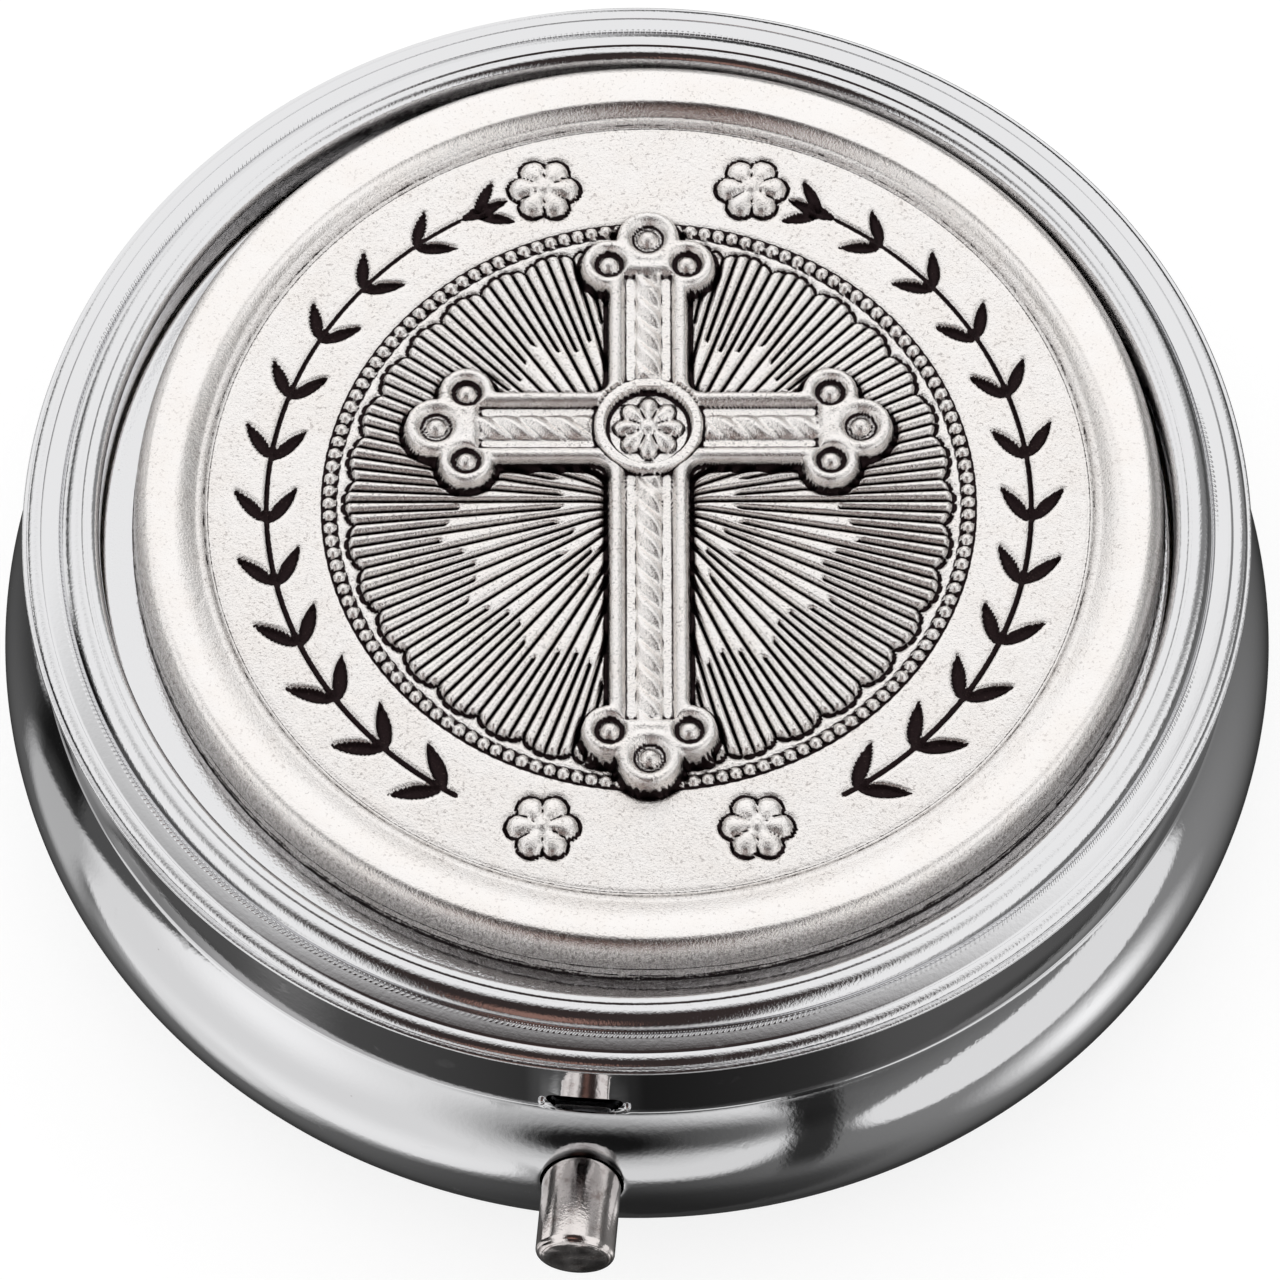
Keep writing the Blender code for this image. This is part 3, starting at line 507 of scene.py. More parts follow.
def silver_finish(colours, sizes):
    """Antique silver on a casting: burnished high work, speckled field, blackened recesses and painted shade
    at its foot.
    """
    finish = Finish("antique_silver", metallic=1.0)
    place = finish.place()
    x, y, z = finish.parts(place)
    radius, turn = finish.polar(x - sizes.shift[0], y - sizes.shift[1])
    angle = turn - sizes.turn
    cast = finish.layer("cast")
    casting = finish.step(cast, 0.45, 0.8)
    speckle = finish.noise(place, 0.00009, detail=3.0, roughness=0.7)
    blot = finish.noise(place, 0.0016, detail=3.0, roughness=0.6)
    around = finish.vector(angle * 0.0195, radius * 0.34, z * 0.34)
    hair = finish.noise(around, 0.00007, detail=2.0, roughness=0.6)
    # The oxide layer holds blackened oxide and the painted shade at the medallion's foot.
    edge = finish.layer("oxide_and_shade") + (speckle - 0.5) * (0.3 + cast * 0.6) + (blot - 0.5) * cast * 0.3
    grooves = ray_grooves(finish, sizes, radius, angle, speckle)
    black = finish.step(edge, 0.36, 0.62).maths("MAXIMUM", grooves)
    tone = finish.mix(finish.step(blot, 0.35, 0.7) * 0.5, colours.silver, (0.93, 0.88, 0.84))
    specks = silver_specks(finish, place, cast, casting, blot, hair)
    dulled = finish.mix(specks, tone, (0.24, 0.20, 0.19))
    glint = finish.step(speckle, 0.60, 0.72) * 0.4
    dark = finish.mix(glint, colours.oxide_and_shade, (0.16, 0.115, 0.10))
    finish.set("Base Color", finish.mix(black, dulled, dark))
    finish.set("Metallic", 1 - casting * 0.2)
    finish.set("Roughness", 0.13 + casting * 0.11 + black * 0.24 + (speckle - 0.5) * 0.08)
    lumps = finish.noise(place, 0.00045, detail=3.0)
    scores = scratches(finish, place, 0.9, 0.0013, 0.05) + scratches(finish, place, 2.5, 0.0016, 0.05)
    grain = finish.bump(speckle * (0.22 + cast * 1.2 + casting * 0.5), 0.000036)
    combed = finish.bump(hair * casting, 0.000046, grain)
    scored = finish.bump(scores, -0.000006, combed)
    finish.set("Normal", finish.bump(lumps * (0.3 + cast), 0.000022, scored))
    return finish.material


def nickel_finish(colours):
    """Turned and nickel-plated brass with rubbed patches, and painted shade where it enters the hole."""
    finish = Finish("nickel_plate", metallic=1.0)
    place = finish.place()
    blot = finish.noise(place, 0.0007, detail=4.0, roughness=0.7)
    grain = finish.noise(place, 0.00012, detail=3.0, roughness=0.6)
    y = finish.parts(place)[1]
    mirrored = finish.add("ShaderNodeLightPath", output="Is Glossy Ray")
    # Painted shade near the hole: a little darker as the camera sees it, near black where the button shows
    # in reflections.
    hole_shade = finish.step(y, -0.0266, -0.0258) * (0.25 + mirrored * 0.75)
    rubbed = finish.mix(finish.step(blot, 0.5, 0.72) * 0.8, colours.nickel, (0.34, 0.27, 0.25))
    finish.set("Base Color", finish.mix(hole_shade, rubbed, (0.03, 0.025, 0.025)))
    finish.set("Roughness", 0.06 + finish.step(blot, 0.40, 0.75) * 0.10 + (grain - 0.5) * 0.05)
    face = 1 - finish.step(y, -0.02850, -0.02838)
    dents = finish.noise(place, 0.0012, detail=1.0) * face
    finish.set("Normal", finish.bump(dents, 0.00022, finish.bump(grain, 0.0000060)))
    return finish.material


def spun_finish(name, colour, grain_reach, roughness):
    """Plated sheet that was polished on a spinning wheel, with rings round Z."""
    finish = Finish(name, metallic=1.0)
    place = finish.place()
    x, y, z = finish.parts(place)
    radius, angle = finish.polar(x, y)
    around = finish.vector(radius * 8.0, angle * 0.0012, z * 8.0)
    rings = finish.noise(around, 0.0009, detail=4.0, roughness=0.7)
    blot = finish.noise(place, 0.005, detail=3.0)
    darker = [0.78 * part for part in colour]
    finish.set("Base Color", finish.mix(finish.step(blot, 0.3, 0.8) * 0.35, colour, darker))
    finish.set("Roughness", roughness + rings * 0.14 + blot * 0.05)
    finish.set("Normal", finish.bump(rings, grain_reach))
    return finish.material


def drawn_finish(name, colour, roughness):
    """Plated or bare steel of small stampings and wire, with a fine drawn grain."""
    finish = Finish(name, metallic=1.0)
    place = finish.place()
    drawn = finish.add("ShaderNodeMapping", sockets={"Vector": place, "Scale": (0.12, 1, 1)})
    grain = finish.noise(drawn, 0.00016, detail=4.0, roughness=0.7)
    blot = finish.noise(place, 0.0011, detail=3.0)
    darker = [0.7 * part for part in colour]
    finish.set("Base Color", finish.mix(finish.step(blot, 0.35, 0.75) * 0.5, colour, darker))
    finish.set("Roughness", roughness + grain * 0.14)
    finish.set("Normal", finish.bump(grain, 0.000004))
    return finish.material


def resin_finish():
    """Clear amber epoxy that has set under the medallion."""
    finish = Finish("amber_resin", metallic=0.0)
    place = finish.place()
    clouds = finish.noise(place, 0.002, detail=3.0)
    finish.set("Base Color", finish.mix(clouds, (0.62, 0.50, 0.30), (0.78, 0.70, 0.52)))
    finish.set("Roughness", 0.18 + clouds * 0.2)
    finish.set("Normal", finish.bump(clouds, 0.00002))
    return finish.material


def paper_finish():
    """White paper, which the camera sees with a lightened shadow."""
    finish = Finish("white_paper", roughness=0.9)
    seen = finish.add("ShaderNodeLightPath", output="Is Camera Ray")
    tooth = finish.noise(finish.place(), 0.0009, detail=3.0)
    shaded = [0.33] * 3
    glow = [0.72] * 3
    finish.set("Base Color", finish.mix(seen, (1.0, 1.0, 1.0), shaded))
    finish.set("Emission Color", finish.mix(seen, (0.0, 0.0, 0.0), glow))
    finish.set("Emission Strength", 1.0)
    finish.set("Normal", finish.bump(tooth, 0.00001))
    finish.material.cycles.emission_sampling = "NONE"
    return finish.material


# Shapes


def arc(centre, radii, start, end, count):
    """Points on an arc with one radius or two in the (radius, height) plane, both ends included."""
    wide, high = np.broadcast_to(radii, 2)
    turns = np.linspace(start, end, count + 1)
    return np.column_stack((centre[0] + wide * np.cos(turns), centre[1] + high * np.sin(turns)))


def along(start, end, step):
    """Points from one (radius, height) to another, no further apart than a step."""
    count = max(1, math.ceil(math.dist(start, end) / step))
    return np.linspace(start, end, count + 1)


def join(*steps):
    """Join the steps of a section into one list of points."""
    return np.concatenate([np.asarray(step, dtype=float) for step in steps])


def even_angles(count):
    """Angles of a full turn."""
    return np.linspace(-HALF_TURN, HALF_TURN, count, endpoint=False)


def front_angles(coarse, fine, half):
    """Angles of a full turn that lie closer together on both sides of the front."""
    near = np.arange(FRONT - half, FRONT + half, fine)
    far = np.arange(near[-1] + fine, FRONT - half + FULL_TURN - coarse / 2, coarse)
    return np.concatenate((near, far))


def put(name, mesh):
    """Put a mesh into the scene as an object."""
    item = bpy.data.objects.new(name, mesh)
    bpy.context.scene.collection.objects.link(item)
    return item


def put_shape(name, shape):
    """Put a shape under construction into the scene as an object."""
    mesh = bpy.data.meshes.new(name)
    shape.to_mesh(mesh)
    shape.free()
    return put(name, mesh)


def make_mesh(name, points, faces, material, smooth_below=math.radians(35)):
    """Make a shaded object from points and faces."""
    mesh = bpy.data.meshes.new(name)
    mesh.from_pydata(np.asarray(points).tolist(), [], faces)
    mesh.validate()
    shape = bmesh.new()
    shape.from_mesh(mesh)
    bmesh.ops.recalc_face_normals(shape, faces=shape.faces)
    shape.to_mesh(mesh)
    shape.free()
    mesh.materials.append(material)
    item = put(name, mesh)
    shade(item, smooth_below)
    return item


def shade(item, smooth_below=math.radians(35)):
    """Shade smoothly over all edges but the sharp ones."""
    item.data.shade_smooth()
    item.data.set_sharp_from_angle(angle=smooth_below)


def lathe(name, profile, angles, material, bend=None):
    """Turn a profile that starts and ends on Z, with an optional bend of its points."""
    profile = np.asarray(profile)
    inner = profile[1:-1]
    turns = np.asarray(angles)
    radii = inner[:, 0][:, None]
    x = radii * np.cos(turns)
    y = radii * np.sin(turns)
    z = np.repeat(inner[:, 1][:, None], len(turns), axis=1)
    rings = np.stack((x, y, z), axis=-1)
    if bend:
        rings = bend(rings, turns)
    rows, columns = rings.shape[:2]
    points = np.concatenate((rings.reshape(-1, 3), [(0, 0, profile[0][1]), (0, 0, profile[-1][1])]))
    return make_mesh(name, points, ring_faces(rows, columns), material)


def ring_faces(rows, columns):
    """Quads between closed rings, and the two fans that close them on Z."""
    row = np.arange(rows - 1)[:, None] * columns
    column = np.arange(columns)[None, :]
    after = (column + 1) % columns
    corners = (row + column, row + after, row + columns + after, row + columns + column)
    faces = np.stack(corners, axis=-1).reshape(-1, 4).tolist()
    first = rows * columns
    last = (rows - 1) * columns
    for index in range(columns):
        following = (index + 1) % columns
        faces.append((first, following, index))
        faces.append((first + 1, last + index, last + following))
    return faces


def block(name, low, high):
    """Make a box between two corners."""
    low = Vector(low)
    high = Vector(high)
    shape = bmesh.new()
    bmesh.ops.create_cube(shape, size=1)
    bmesh.ops.scale(shape, vec=high - low, verts=shape.verts)
    bmesh.ops.translate(shape, vec=(low + high) / 2, verts=shape.verts)
    return put_shape(name, shape)


def prism(name, outline, low, high):
    """Make a solid with a flat outline in X and Z between two Y values."""
    shape = bmesh.new()
    front = [shape.verts.new((x, low, z)) for x, z in outline]
    face = shape.faces.new(front)
    grown = bmesh.ops.extrude_face_region(shape, geom=[face])
    moved = [part for part in grown["geom"] if isinstance(part, bmesh.types.BMVert)]
    bmesh.ops.translate(shape, vec=(0, high - low, 0), verts=moved)
    bmesh.ops.recalc_face_normals(shape, faces=shape.faces)
    return put_shape(name, shape)


def circle_outline(centre, radius):
    """Points of a circle in X and Z."""
    turns = np.linspace(0, FULL_TURN, 64, endpoint=False)
    return [(centre[0] + radius * math.cos(turn), centre[1] + radius * math.sin(turn)) for turn in turns]


def pill_outline(centre, half_width, half_height):
    """Points of a slot with round ends in X and Z."""
    reach = half_width - half_height
    points = []
    for side, start in ((1, -QUARTER_TURN), (-1, QUARTER_TURN)):
        for turn in np.linspace(start, start + HALF_TURN, 13):
            x = centre[0] + side * reach + half_height * math.cos(turn)
            points.append((x, centre[1] + half_height * math.sin(turn)))
    return points


def cut(item, cutters):
    """Cut solids out of a piece and keep only the result."""
    for cutter in cutters:
        boolean = item.modifiers.new("cut", "BOOLEAN")
        boolean.operation = "DIFFERENCE"
        boolean.solver = "EXACT"
        boolean.object = cutter
    graph = bpy.context.evaluated_depsgraph_get()
    mesh = bpy.data.meshes.new_from_object(item.evaluated_get(graph))
    item.modifiers.clear()
    item.data = mesh
    for cutter in cutters:
        bpy.data.objects.remove(cutter)
    shade(item)
    return item


def wire_frames(points):
    """Each point of a wire with two directions across it and the one ahead."""
    last = len(points) - 1
    side = (points[1] - points[0]).orthogonal()
    frames = []
    for index, point in enumerate(points):
        ahead = (points[min(index + 1, last)] - points[max(index - 1, 0)]).normalized()
        side = (side - ahead * side.dot(ahead)).normalized()
        frames.append((point, side, ahead.cross(side), ahead))
    return frames


def tube(name, points, radius, material):
    """Make a round wire with domed ends along points."""
    sides = 16
    frames = wire_frames([Vector(point) for point in points])
    first = frames[0]
    last = frames[-1]
    rings = [(first[0] - first[3] * radius * 0.45, first, 0.7)]
    rings += [(frame_at[0], frame_at, 1.0) for frame_at in frames]
    rings.append((last[0] + last[3] * radius * 0.45, last, 0.7))
    verts = []
    for centre, (_, side, other, _), width in rings:
        for turn in np.arange(sides) * FULL_TURN / sides:
            offset = side * math.cos(turn) + other * math.sin(turn)
            verts.append(tuple(centre + offset * radius * width))
    faces = []
    for row in range(len(rings) - 1):
        for index in range(sides):
            following = (index + 1) % sides
            low = row * sides
            faces.append((low + index, low + following, low + sides + following, low + sides + index))
    faces.append(tuple(range(sides)))
    top = (len(rings) - 1) * sides
    faces.append(tuple(range(top, top + sides)))
    return make_mesh(name, verts, faces, material)


# Pieces


def smooth(low, high, value):
    """Rise smoothly from 0 at low to 1 at high."""
    share_along = np.clip((value - low) / (high - low), 0, 1)
    return share_along * share_along * (3 - 2 * share_along)


def bowl_section(sizes):
    """Section of the bowl: outside from the base's centre up the neck, then back down inside."""
    bulge = (sizes.bulge_centre, sizes.equator)
    neck = sizes.neck
    top = sizes.neck_top
    crease = sizes.crease
    crease_turn = math.acos((neck - sizes.bulge_centre) / sizes.bulge_radius)
    fillet = 0.00006
    slot_end = sizes.slot_top + 0.0002
    inside = neck - sizes.wall
    inner_radius = sizes.bulge_radius - sizes.wall
    inner_turn = math.acos((inside - sizes.bulge_centre) / inner_radius)
    return join(
        [(0, 0.00015), (0.0150, 0.00015), (0.0153, 0.00010), (0.0157, 0.00002), (0.0160, 0.0)],
        arc(bulge, (sizes.bulge_radius, sizes.equator), -QUARTER_TURN, 0, 34)[:-1],
        arc(bulge, sizes.bulge_radius, 0, crease_turn, 62)[:-1],
        [(neck + fillet * 0.55, crease - fillet * 0.6), (neck + fillet * 0.12, crease + fillet * 0.3)],
        along((neck, crease + fillet), (neck, slot_end), 0.00004),
        along((neck, slot_end), (neck, top - 0.0001), 0.00012)[1:],
        arc((neck - 0.0001, top - 0.0001), 0.0001, 0.4, 1.5, 3),
        [(inside + 0.00008, top), (inside, top - 0.00008)],
        along((inside, top - 0.0003), (inside, crease), 0.00024),
        arc(bulge, inner_radius, inner_turn, 0, 16),
        arc(bulge, (inner_radius, sizes.equator - sizes.wall), 0, -QUARTER_TURN, 16)[1:],
        [(0, sizes.wall)],
    )


def bowl_bend(sizes):
    """Return the bend that presses the latch hood, the slot's ends and the hole's edge into the bowl."""

    def bend(rings, turns):
        x, y, z = rings[..., 0], rings[..., 1], rings[..., 2]
        front = y < -sizes.bulge_centre
        reach = np.hypot(x, y)
        half = sizes.hood_width / 2
        shape_x = 1 - smooth(half / 2, half, np.abs(x))
        rise = smooth(sizes.crease + 0.0006, sizes.crease + 0.0009, z)
        faded = sizes.neck_top - 0.0006
        fade = np.clip((faded - z) / (faded - sizes.slot_top), 0, 1)
        push = sizes.hood_reach * shape_x * rise * fade
        lip_x = 1 - smooth(sizes.slot_width / 2 - 0.0003, sizes.slot_width / 2 + 0.0003, np.abs(x))
        push = push + 0.00009 * lip_x * (1 - smooth(sizes.crease + 0.0002, sizes.crease + 0.0004, z))
        on_neck = z > sizes.crease
        hole_gap = np.hypot(x, z - sizes.hole_height) - sizes.hole
        sink = -0.000025 * np.exp(-np.clip(hole_gap, 0, None) / 0.00007)
        push = np.where(front & on_neck, push, 0) + np.where(front & ~on_neck, sink, 0)
        scale = 1 + push / np.maximum(reach, 1e-6)
        rings = rings.copy()
        rings[..., 0] *= scale
        rings[..., 1] *= scale
        return rings

    return bend


def make_bowl(sizes, chrome):
    """The pressed bowl with its hood, slot, button hole and hinge notch."""
    angles = front_angles(math.radians(1.0), math.radians(0.12), math.radians(6.0))
    bowl = lathe("bowl", bowl_section(sizes), angles, chrome, bowl_bend(sizes))
    low = sizes.crease + 0.00014
    outline = pill_outline((0, (low + sizes.slot_top) / 2), sizes.slot_width / 2, (sizes.slot_top - low) / 2)
    slot = prism("slot", outline, -sizes.neck - 0.001, -sizes.neck + 0.001)
    hole = prism("hole", circle_outline((0, sizes.hole_height), sizes.hole), -0.027, -0.0235)
    notch = block(
        "notch",
        (-sizes.notch_half, sizes.neck - 0.002, sizes.notch_floor),
        (sizes.notch_half, sizes.neck + 0.001, sizes.neck_top + 0.001),
    )
    cut(bowl, [slot, hole, notch])
    slot_end = sizes.slot_width / 2 + 0.00016
    for x in (-slot_end, slot_end):
        add_curl(bowl, (x, -sizes.neck + 0.00003, sizes.crease + 0.0005))
    return bowl


def add_curl(item, centre):
    """A small curl of metal that the lancing tool left at an end of the slot."""
    shape = bmesh.new()
    shape.from_mesh(item.data)
    place = Matrix.Translation(centre)
    grown = bmesh.ops.create_icosphere(shape, subdivisions=4, radius=0.00015, matrix=place)
    for vertex in grown["verts"]:
        vertex.co.z += 0.4 * (vertex.co.z - centre[2]) + 0.3 * abs(vertex.co.x - centre[0])
    for face in {face for vertex in grown["verts"] for face in vertex.link_faces}:
        face.smooth = True
    shape.to_mesh(item.data)
    shape.free()


# Steps across and up of the fine valley beside the bead, and of the fine groove outside it
LID_VALLEY = (
    (0.00004, -0.000006),
    (0.00008, -0.000022),
    (0.00012, -0.000034),
    (0.00016, -0.000026),
    (0.00020, -0.000006),
    (0.00023, 0.000008),
)
LID_GROOVE = (
    (-0.00006, -0.00003),
    (-0.00003, -0.00010),
    (0.0, -0.00012),
    (0.00003, -0.00006),
    (0.00005, -0.00004),
    (0.00008, -0.00007),
    (0.00011, -0.00002),
    (0.00015, 0.0),
)


def lid_section(sizes):
    """Section of the lid: outside from the recess's centre to the lip, then back inside."""
    wall = sizes.wall
    brow = sizes.crown_height - 0.00003
    inner = sizes.bead_inner
    crown = (sizes.crown, sizes.crown_height - sizes.bead_outer)
    crown_start = QUARTER_TURN + math.radians(5)
    crown_end = QUARTER_TURN - math.radians(54)
    beyond = np.linspace(0.00015, sizes.shoulder - sizes.groove - 0.00003, 8)
    fall = beyond * math.tan(sizes.slope) + sizes.sag * beyond**2
    foot = sizes.top - fall[-1]
    roll = (sizes.skirt - sizes.shoulder - 0.00006, foot - sizes.lip - 0.00020)
    roll_centre = (sizes.skirt - roll[0], foot + 0.00001 - roll[1])
    inside = sizes.skirt - 0.0002
    under = sizes.top - sizes.sheet
    return join(
        [(0, sizes.floor), (0.0100, sizes.floor), (wall - 0.0004, sizes.floor)],
        arc((wall - 0.00025, sizes.floor + 0.00025), 0.00025, -QUARTER_TURN, 0, 5),
        arc((wall + inner, brow - inner), inner, HALF_TURN, QUARTER_TURN, 18),
        np.add(LID_VALLEY, (wall + inner, brow)),
        arc(crown, sizes.bead_outer, crown_start, crown_end, 20),
        np.add(LID_GROOVE, (sizes.groove, sizes.top)),
        np.column_stack((sizes.groove + beyond, sizes.top - fall)),
        [(sizes.shoulder - 0.00001, foot - 0.00002), (sizes.shoulder + 0.00002, foot - 0.000016)],
        arc(roll_centre, roll, QUARTER_TURN + math.radians(6), 0.0, 26),
        [(sizes.skirt + 0.00001, sizes.lip + 0.00017)],
        arc((sizes.edge - 0.00008, sizes.lip + 0.00008), 0.00008, QUARTER_TURN * 0.8, -QUARTER_TURN, 8),
        [(inside, sizes.lip), (inside, under - 0.0003), (inside - 0.0003, under - 0.0002)],
        [(wall + sizes.sheet, under), (wall + sizes.sheet, sizes.floor)],
        [(wall + 0.0001, sizes.floor - sizes.sheet), (0, sizes.floor - sizes.sheet)],
    )


def make_lid(sizes, chrome):
    """The pressed lid with its bead, groove, rolled shoulder and lip."""
    return lathe("lid", lid_section(sizes), even_angles(400), chrome)


def make_lining(sizes, metal):
    """The cap inside the lid."""
    low = sizes.lining_low
    top = sizes.lining_top
    outer = sizes.lining
    sheet = 0.0003
    section = join(
        [(0, low), (outer - sheet, low)],
        arc((outer - sheet, low + sheet), sheet, -QUARTER_TURN, 0, 6),
        [(outer, top), (outer - sheet, top), (outer - sheet, low + sheet), (0, low + sheet)],
    )
    return lathe("lid_lining", section, even_angles(192), metal)


# Relief of the medallion

# Half height and half width of the cross without its buds, and the height of its beam
CROSS_UP = 0.0108
CROSS_ACROSS = 0.0074
BEAM = 0.0031
# Each end of the cross: its place, and the direction that leads out of it
CROSS_ENDS = (
    (0, CROSS_UP, 0, 1),
    (0, -CROSS_UP, 0, -1),
    (CROSS_ACROSS, BEAM, 1, 0),
    (-CROSS_ACROSS, BEAM, -1, 0),
)
# Each bud at an end: how far out and to the side it lies, and its radius
BUDS = ((0.0010, 0, 0.00135), (-0.0002, 0.00155, 0.0012), (-0.0002, -0.00155, 0.0012))


class Relief:
    """Heights on a square grid over the medallion, in metres, to which motifs are added."""

    def __init__(self, half, cells):
        self.half = half
        self.cells = cells
        self.step = 2 * half / (cells - 1)
        line = np.linspace(-half, half, cells)
        self.x, self.y = np.meshgrid(line, line)
        self.height = np.zeros((cells, cells))
        self.dark = np.zeros((cells, cells))
        self.rayed = np.zeros((cells, cells))

    def window(self, centre, reach):
        """The part of the grid round a motif."""
        low = [int(max(0, (value - reach + self.half) / self.step)) for value in centre]
        high = [int(min(self.cells, (value + reach + self.half) / self.step + 2)) for value in centre]
        return slice(low[1], high[1]), slice(low[0], high[0])

    def around(self, centre, reach):
        """The part of the grid round a motif, with each point's distance and direction from its centre."""
        rows = self.window(centre, reach)
        x = self.x[rows] - centre[0]
        y = self.y[rows] - centre[1]
        return rows, np.hypot(x, y), np.arctan2(y, x)

    def blacken(self, amount, rows=slice(None)):
        """Blacken at least as much as an amount says."""
        self.dark[rows] = np.maximum(self.dark[rows], amount)

    def blurred(self, spread):
        """The heights blurred by a Gaussian."""
        waves = np.fft.fftfreq(self.cells, self.step)
        reach = np.exp(-2 * (math.pi * spread) ** 2 * (waves[:, None] ** 2 + waves[None, :] ** 2))
        return np.real(np.fft.ifft2(np.fft.fft2(self.height) * reach))

    def sample(self, grid, x, y):
        """Read a grid between its points."""
        column = np.clip((x + self.half) / self.step, 0, self.cells - 1.001)
        row = np.clip((y + self.half) / self.step, 0, self.cells - 1.001)
        left = column.astype(int)
        low = row.astype(int)
        across = column - left
        up = row - low
        bottom = grid[low, left] * (1 - across) + grid[low, left + 1] * across
        top = grid[low + 1, left] * (1 - across) + grid[low + 1, left + 1] * across
        return bottom * (1 - up) + top * up


def ridge(gap, width):
    """A soft line, 1 in its middle, that fades with the distance from it."""
    return np.exp(-((gap / width) ** 2))


def dome(gap, radius):
    """A half ball, 1 high in its middle and nothing past its radius."""
    return np.sqrt(np.clip(1 - (gap / radius) ** 2, 0, 1))


def box_gap(x, y, centre, half):
    """Signed distance to a rectangle, less than nothing inside."""
    across = np.abs(x - centre[0]) - half[0]
    up = np.abs(y - centre[1]) - half[1]
    outside = np.hypot(np.maximum(across, 0), np.maximum(up, 0))
    return outside + np.minimum(np.maximum(across, up), 0)


def soft_least(first, second, blend):
    """The lesser of two distances, rounded where they meet."""
    mixed = np.clip(0.5 + 0.5 * (second - first) / blend, 0, 1)
    return second * (1 - mixed) + first * mixed - blend * mixed * (1 - mixed)


def cross_buds():
    """Centre and radius of the three buds at each end of the cross."""
    for end_x, end_y, out_x, out_y in CROSS_ENDS:
        for forward, side, radius in BUDS:
            yield (end_x + out_x * forward + out_y * side, end_y + out_y * forward + out_x * side), radius


def cross_gap(x, y):
    """Signed distance to the budded cross."""
    half = 0.00165
    gap = box_gap(x, y, (0, 0), (half, CROSS_UP))
    gap = soft_least(gap, box_gap(x, y, (0, BEAM), (CROSS_ACROSS, half)), 0.0008)
    for (bud_x, bud_y), radius in cross_buds():
        gap = soft_least(gap, np.hypot(x - bud_x, y - bud_y) - radius, 0.0002)
    return gap


def add_ground(relief, sizes):
    """Rayed round ground with a scalloped edge."""
    x, y = relief.x, relief.y
    radius = np.hypot(x, y)
    turn = np.arctan2(y, x)
    edge = sizes.ground_radius - 0.00036 + 0.00036 * np.abs(np.cos(turn * sizes.ribs / 8)) ** 0.8
    swing = np.abs(np.cos(turn * 8)) * sizes.split_depth
    splits = (radius > sizes.inner_split - swing).astype(int) + (radius > sizes.outer_split - swing)
    rays = 2.0**splits * sizes.ribs / 4
    phase = turn * rays / FULL_TURN
    share_across = np.abs(phase - np.round(phase))
    gap = share_across * FULL_TURN * radius / rays
    tip = dome(share_across - 0.5, 0.5)
    edge_gap = radius - edge + 0.00012 * (1 - tip)
    inside = smooth(0.0, -0.00012, edge_gap)
    rib = 0.00024 * (1 - ridge(gap, 0.00008)) * smooth(0.0009, 0.0026, radius)
    relief.height += inside * (0.00002 + rib)
    relief.rayed = (radius < edge - 0.00004).astype(float)
    contour = ridge(edge_gap - 0.00009, 0.00009)
    relief.height -= 0.00012 * contour
    relief.blacken(contour * 0.95)


def add_beads(relief, sizes):
    """The ring of beads round the ground, in a blackened groove."""
    x, y = relief.x, relief.y
    ring = sizes.ground_radius + 0.00062
    pitch = FULL_TURN / sizes.beads
    nearest = np.round(np.arctan2(y, x) / pitch) * pitch
    gap = np.hypot(x - ring * np.cos(nearest), y - ring * np.sin(nearest))
    size = 0.00026
    bead = dome(gap, size) * 0.00022
    moat = np.exp(-(((np.hypot(x, y) - ring) / 0.00031) ** 6))
    relief.height += np.where(bead > 0, bead, -0.00007 * moat)
    relief.blacken(np.where(gap > size * 0.93, moat * 0.9, 0))


def add_rim_foot(relief, sizes):
    """The blackened foot of the rim's inner step."""
    radius = np.hypot(relief.x, relief.y)
    foot = ridge(radius - sizes.field_radius + 0.00014, 0.00008)
    relief.height -= 0.00004 * foot
    relief.blacken(0.42 * foot)


def engrave(relief, rows, gap, depth):
    """Sink and blacken what lies within a signed distance."""
    inside = smooth(0.00003, -0.00009, gap)
    relief.height[rows] -= inside * depth
    relief.blacken(smooth(0.00005, -0.00005, gap), rows)


def add_leaf(relief, side, spot, heading, size):
    """One engraved leaf on the right or, mirrored, on the left; its spot is a radius and an angle."""
    out, place_turn = spot
    long, wide = size
    turn = heading if side > 0 else HALF_TURN - heading
    centre = (side * out * math.cos(place_turn), out * math.sin(place_turn))
    rows = relief.window(centre, long)
    x = relief.x[rows] - centre[0]
    y = relief.y[rows] - centre[1]
    ahead = x * math.cos(turn) + y * math.sin(turn)
    across = -x * math.sin(turn) + y * math.cos(turn)
    along_leaf = np.clip(ahead / long + 0.5, 0, 1)
    width = wide * np.sin(math.pi * along_leaf**0.8) ** 0.75
    inside = np.abs(ahead) < long / 2
    gap = np.where(inside, np.abs(across) - width / 2, np.hypot(np.abs(ahead) - long / 2, across))
    engrave(relief, rows, gap, 0.00020)


def add_sprays(relief, sizes):
    """An engraved leaf spray on each side of the cross, with its stem."""
    ring = sizes.spray
    first = math.radians(-60)
    last = math.radians(60)
    radius = np.hypot(relief.x, relief.y)
    turn_right = np.arctan2(relief.y, np.abs(relief.x))
    beyond = np.maximum(np.maximum(first - turn_right, turn_right - last), 0) * ring
    stem = np.hypot(radius - ring, beyond) - (0.00012 - 0.00004 * (turn_right - first) / (last - first))
    engrave(relief, slice(None), stem, 0.00014)
    for side in (-1, 1):
        for index in range(sizes.leaves):
            share_along = index / (sizes.leaves - 1)
            turn = first + 0.04 + (last - first) * share_along
            size = 1 - 0.22 * share_along
            for lean in (-1, 1):
                out = ring + lean * 0.00074 * size
                heading = turn + QUARTER_TURN - lean * math.radians(38)
                add_leaf(relief, side, (out, turn + 0.052), heading, (0.0021 * size, 0.00062 * size))
        tip = last + 0.075
        add_leaf(relief, side, (ring, tip), tip + QUARTER_TURN, (0.0021, 0.00056))


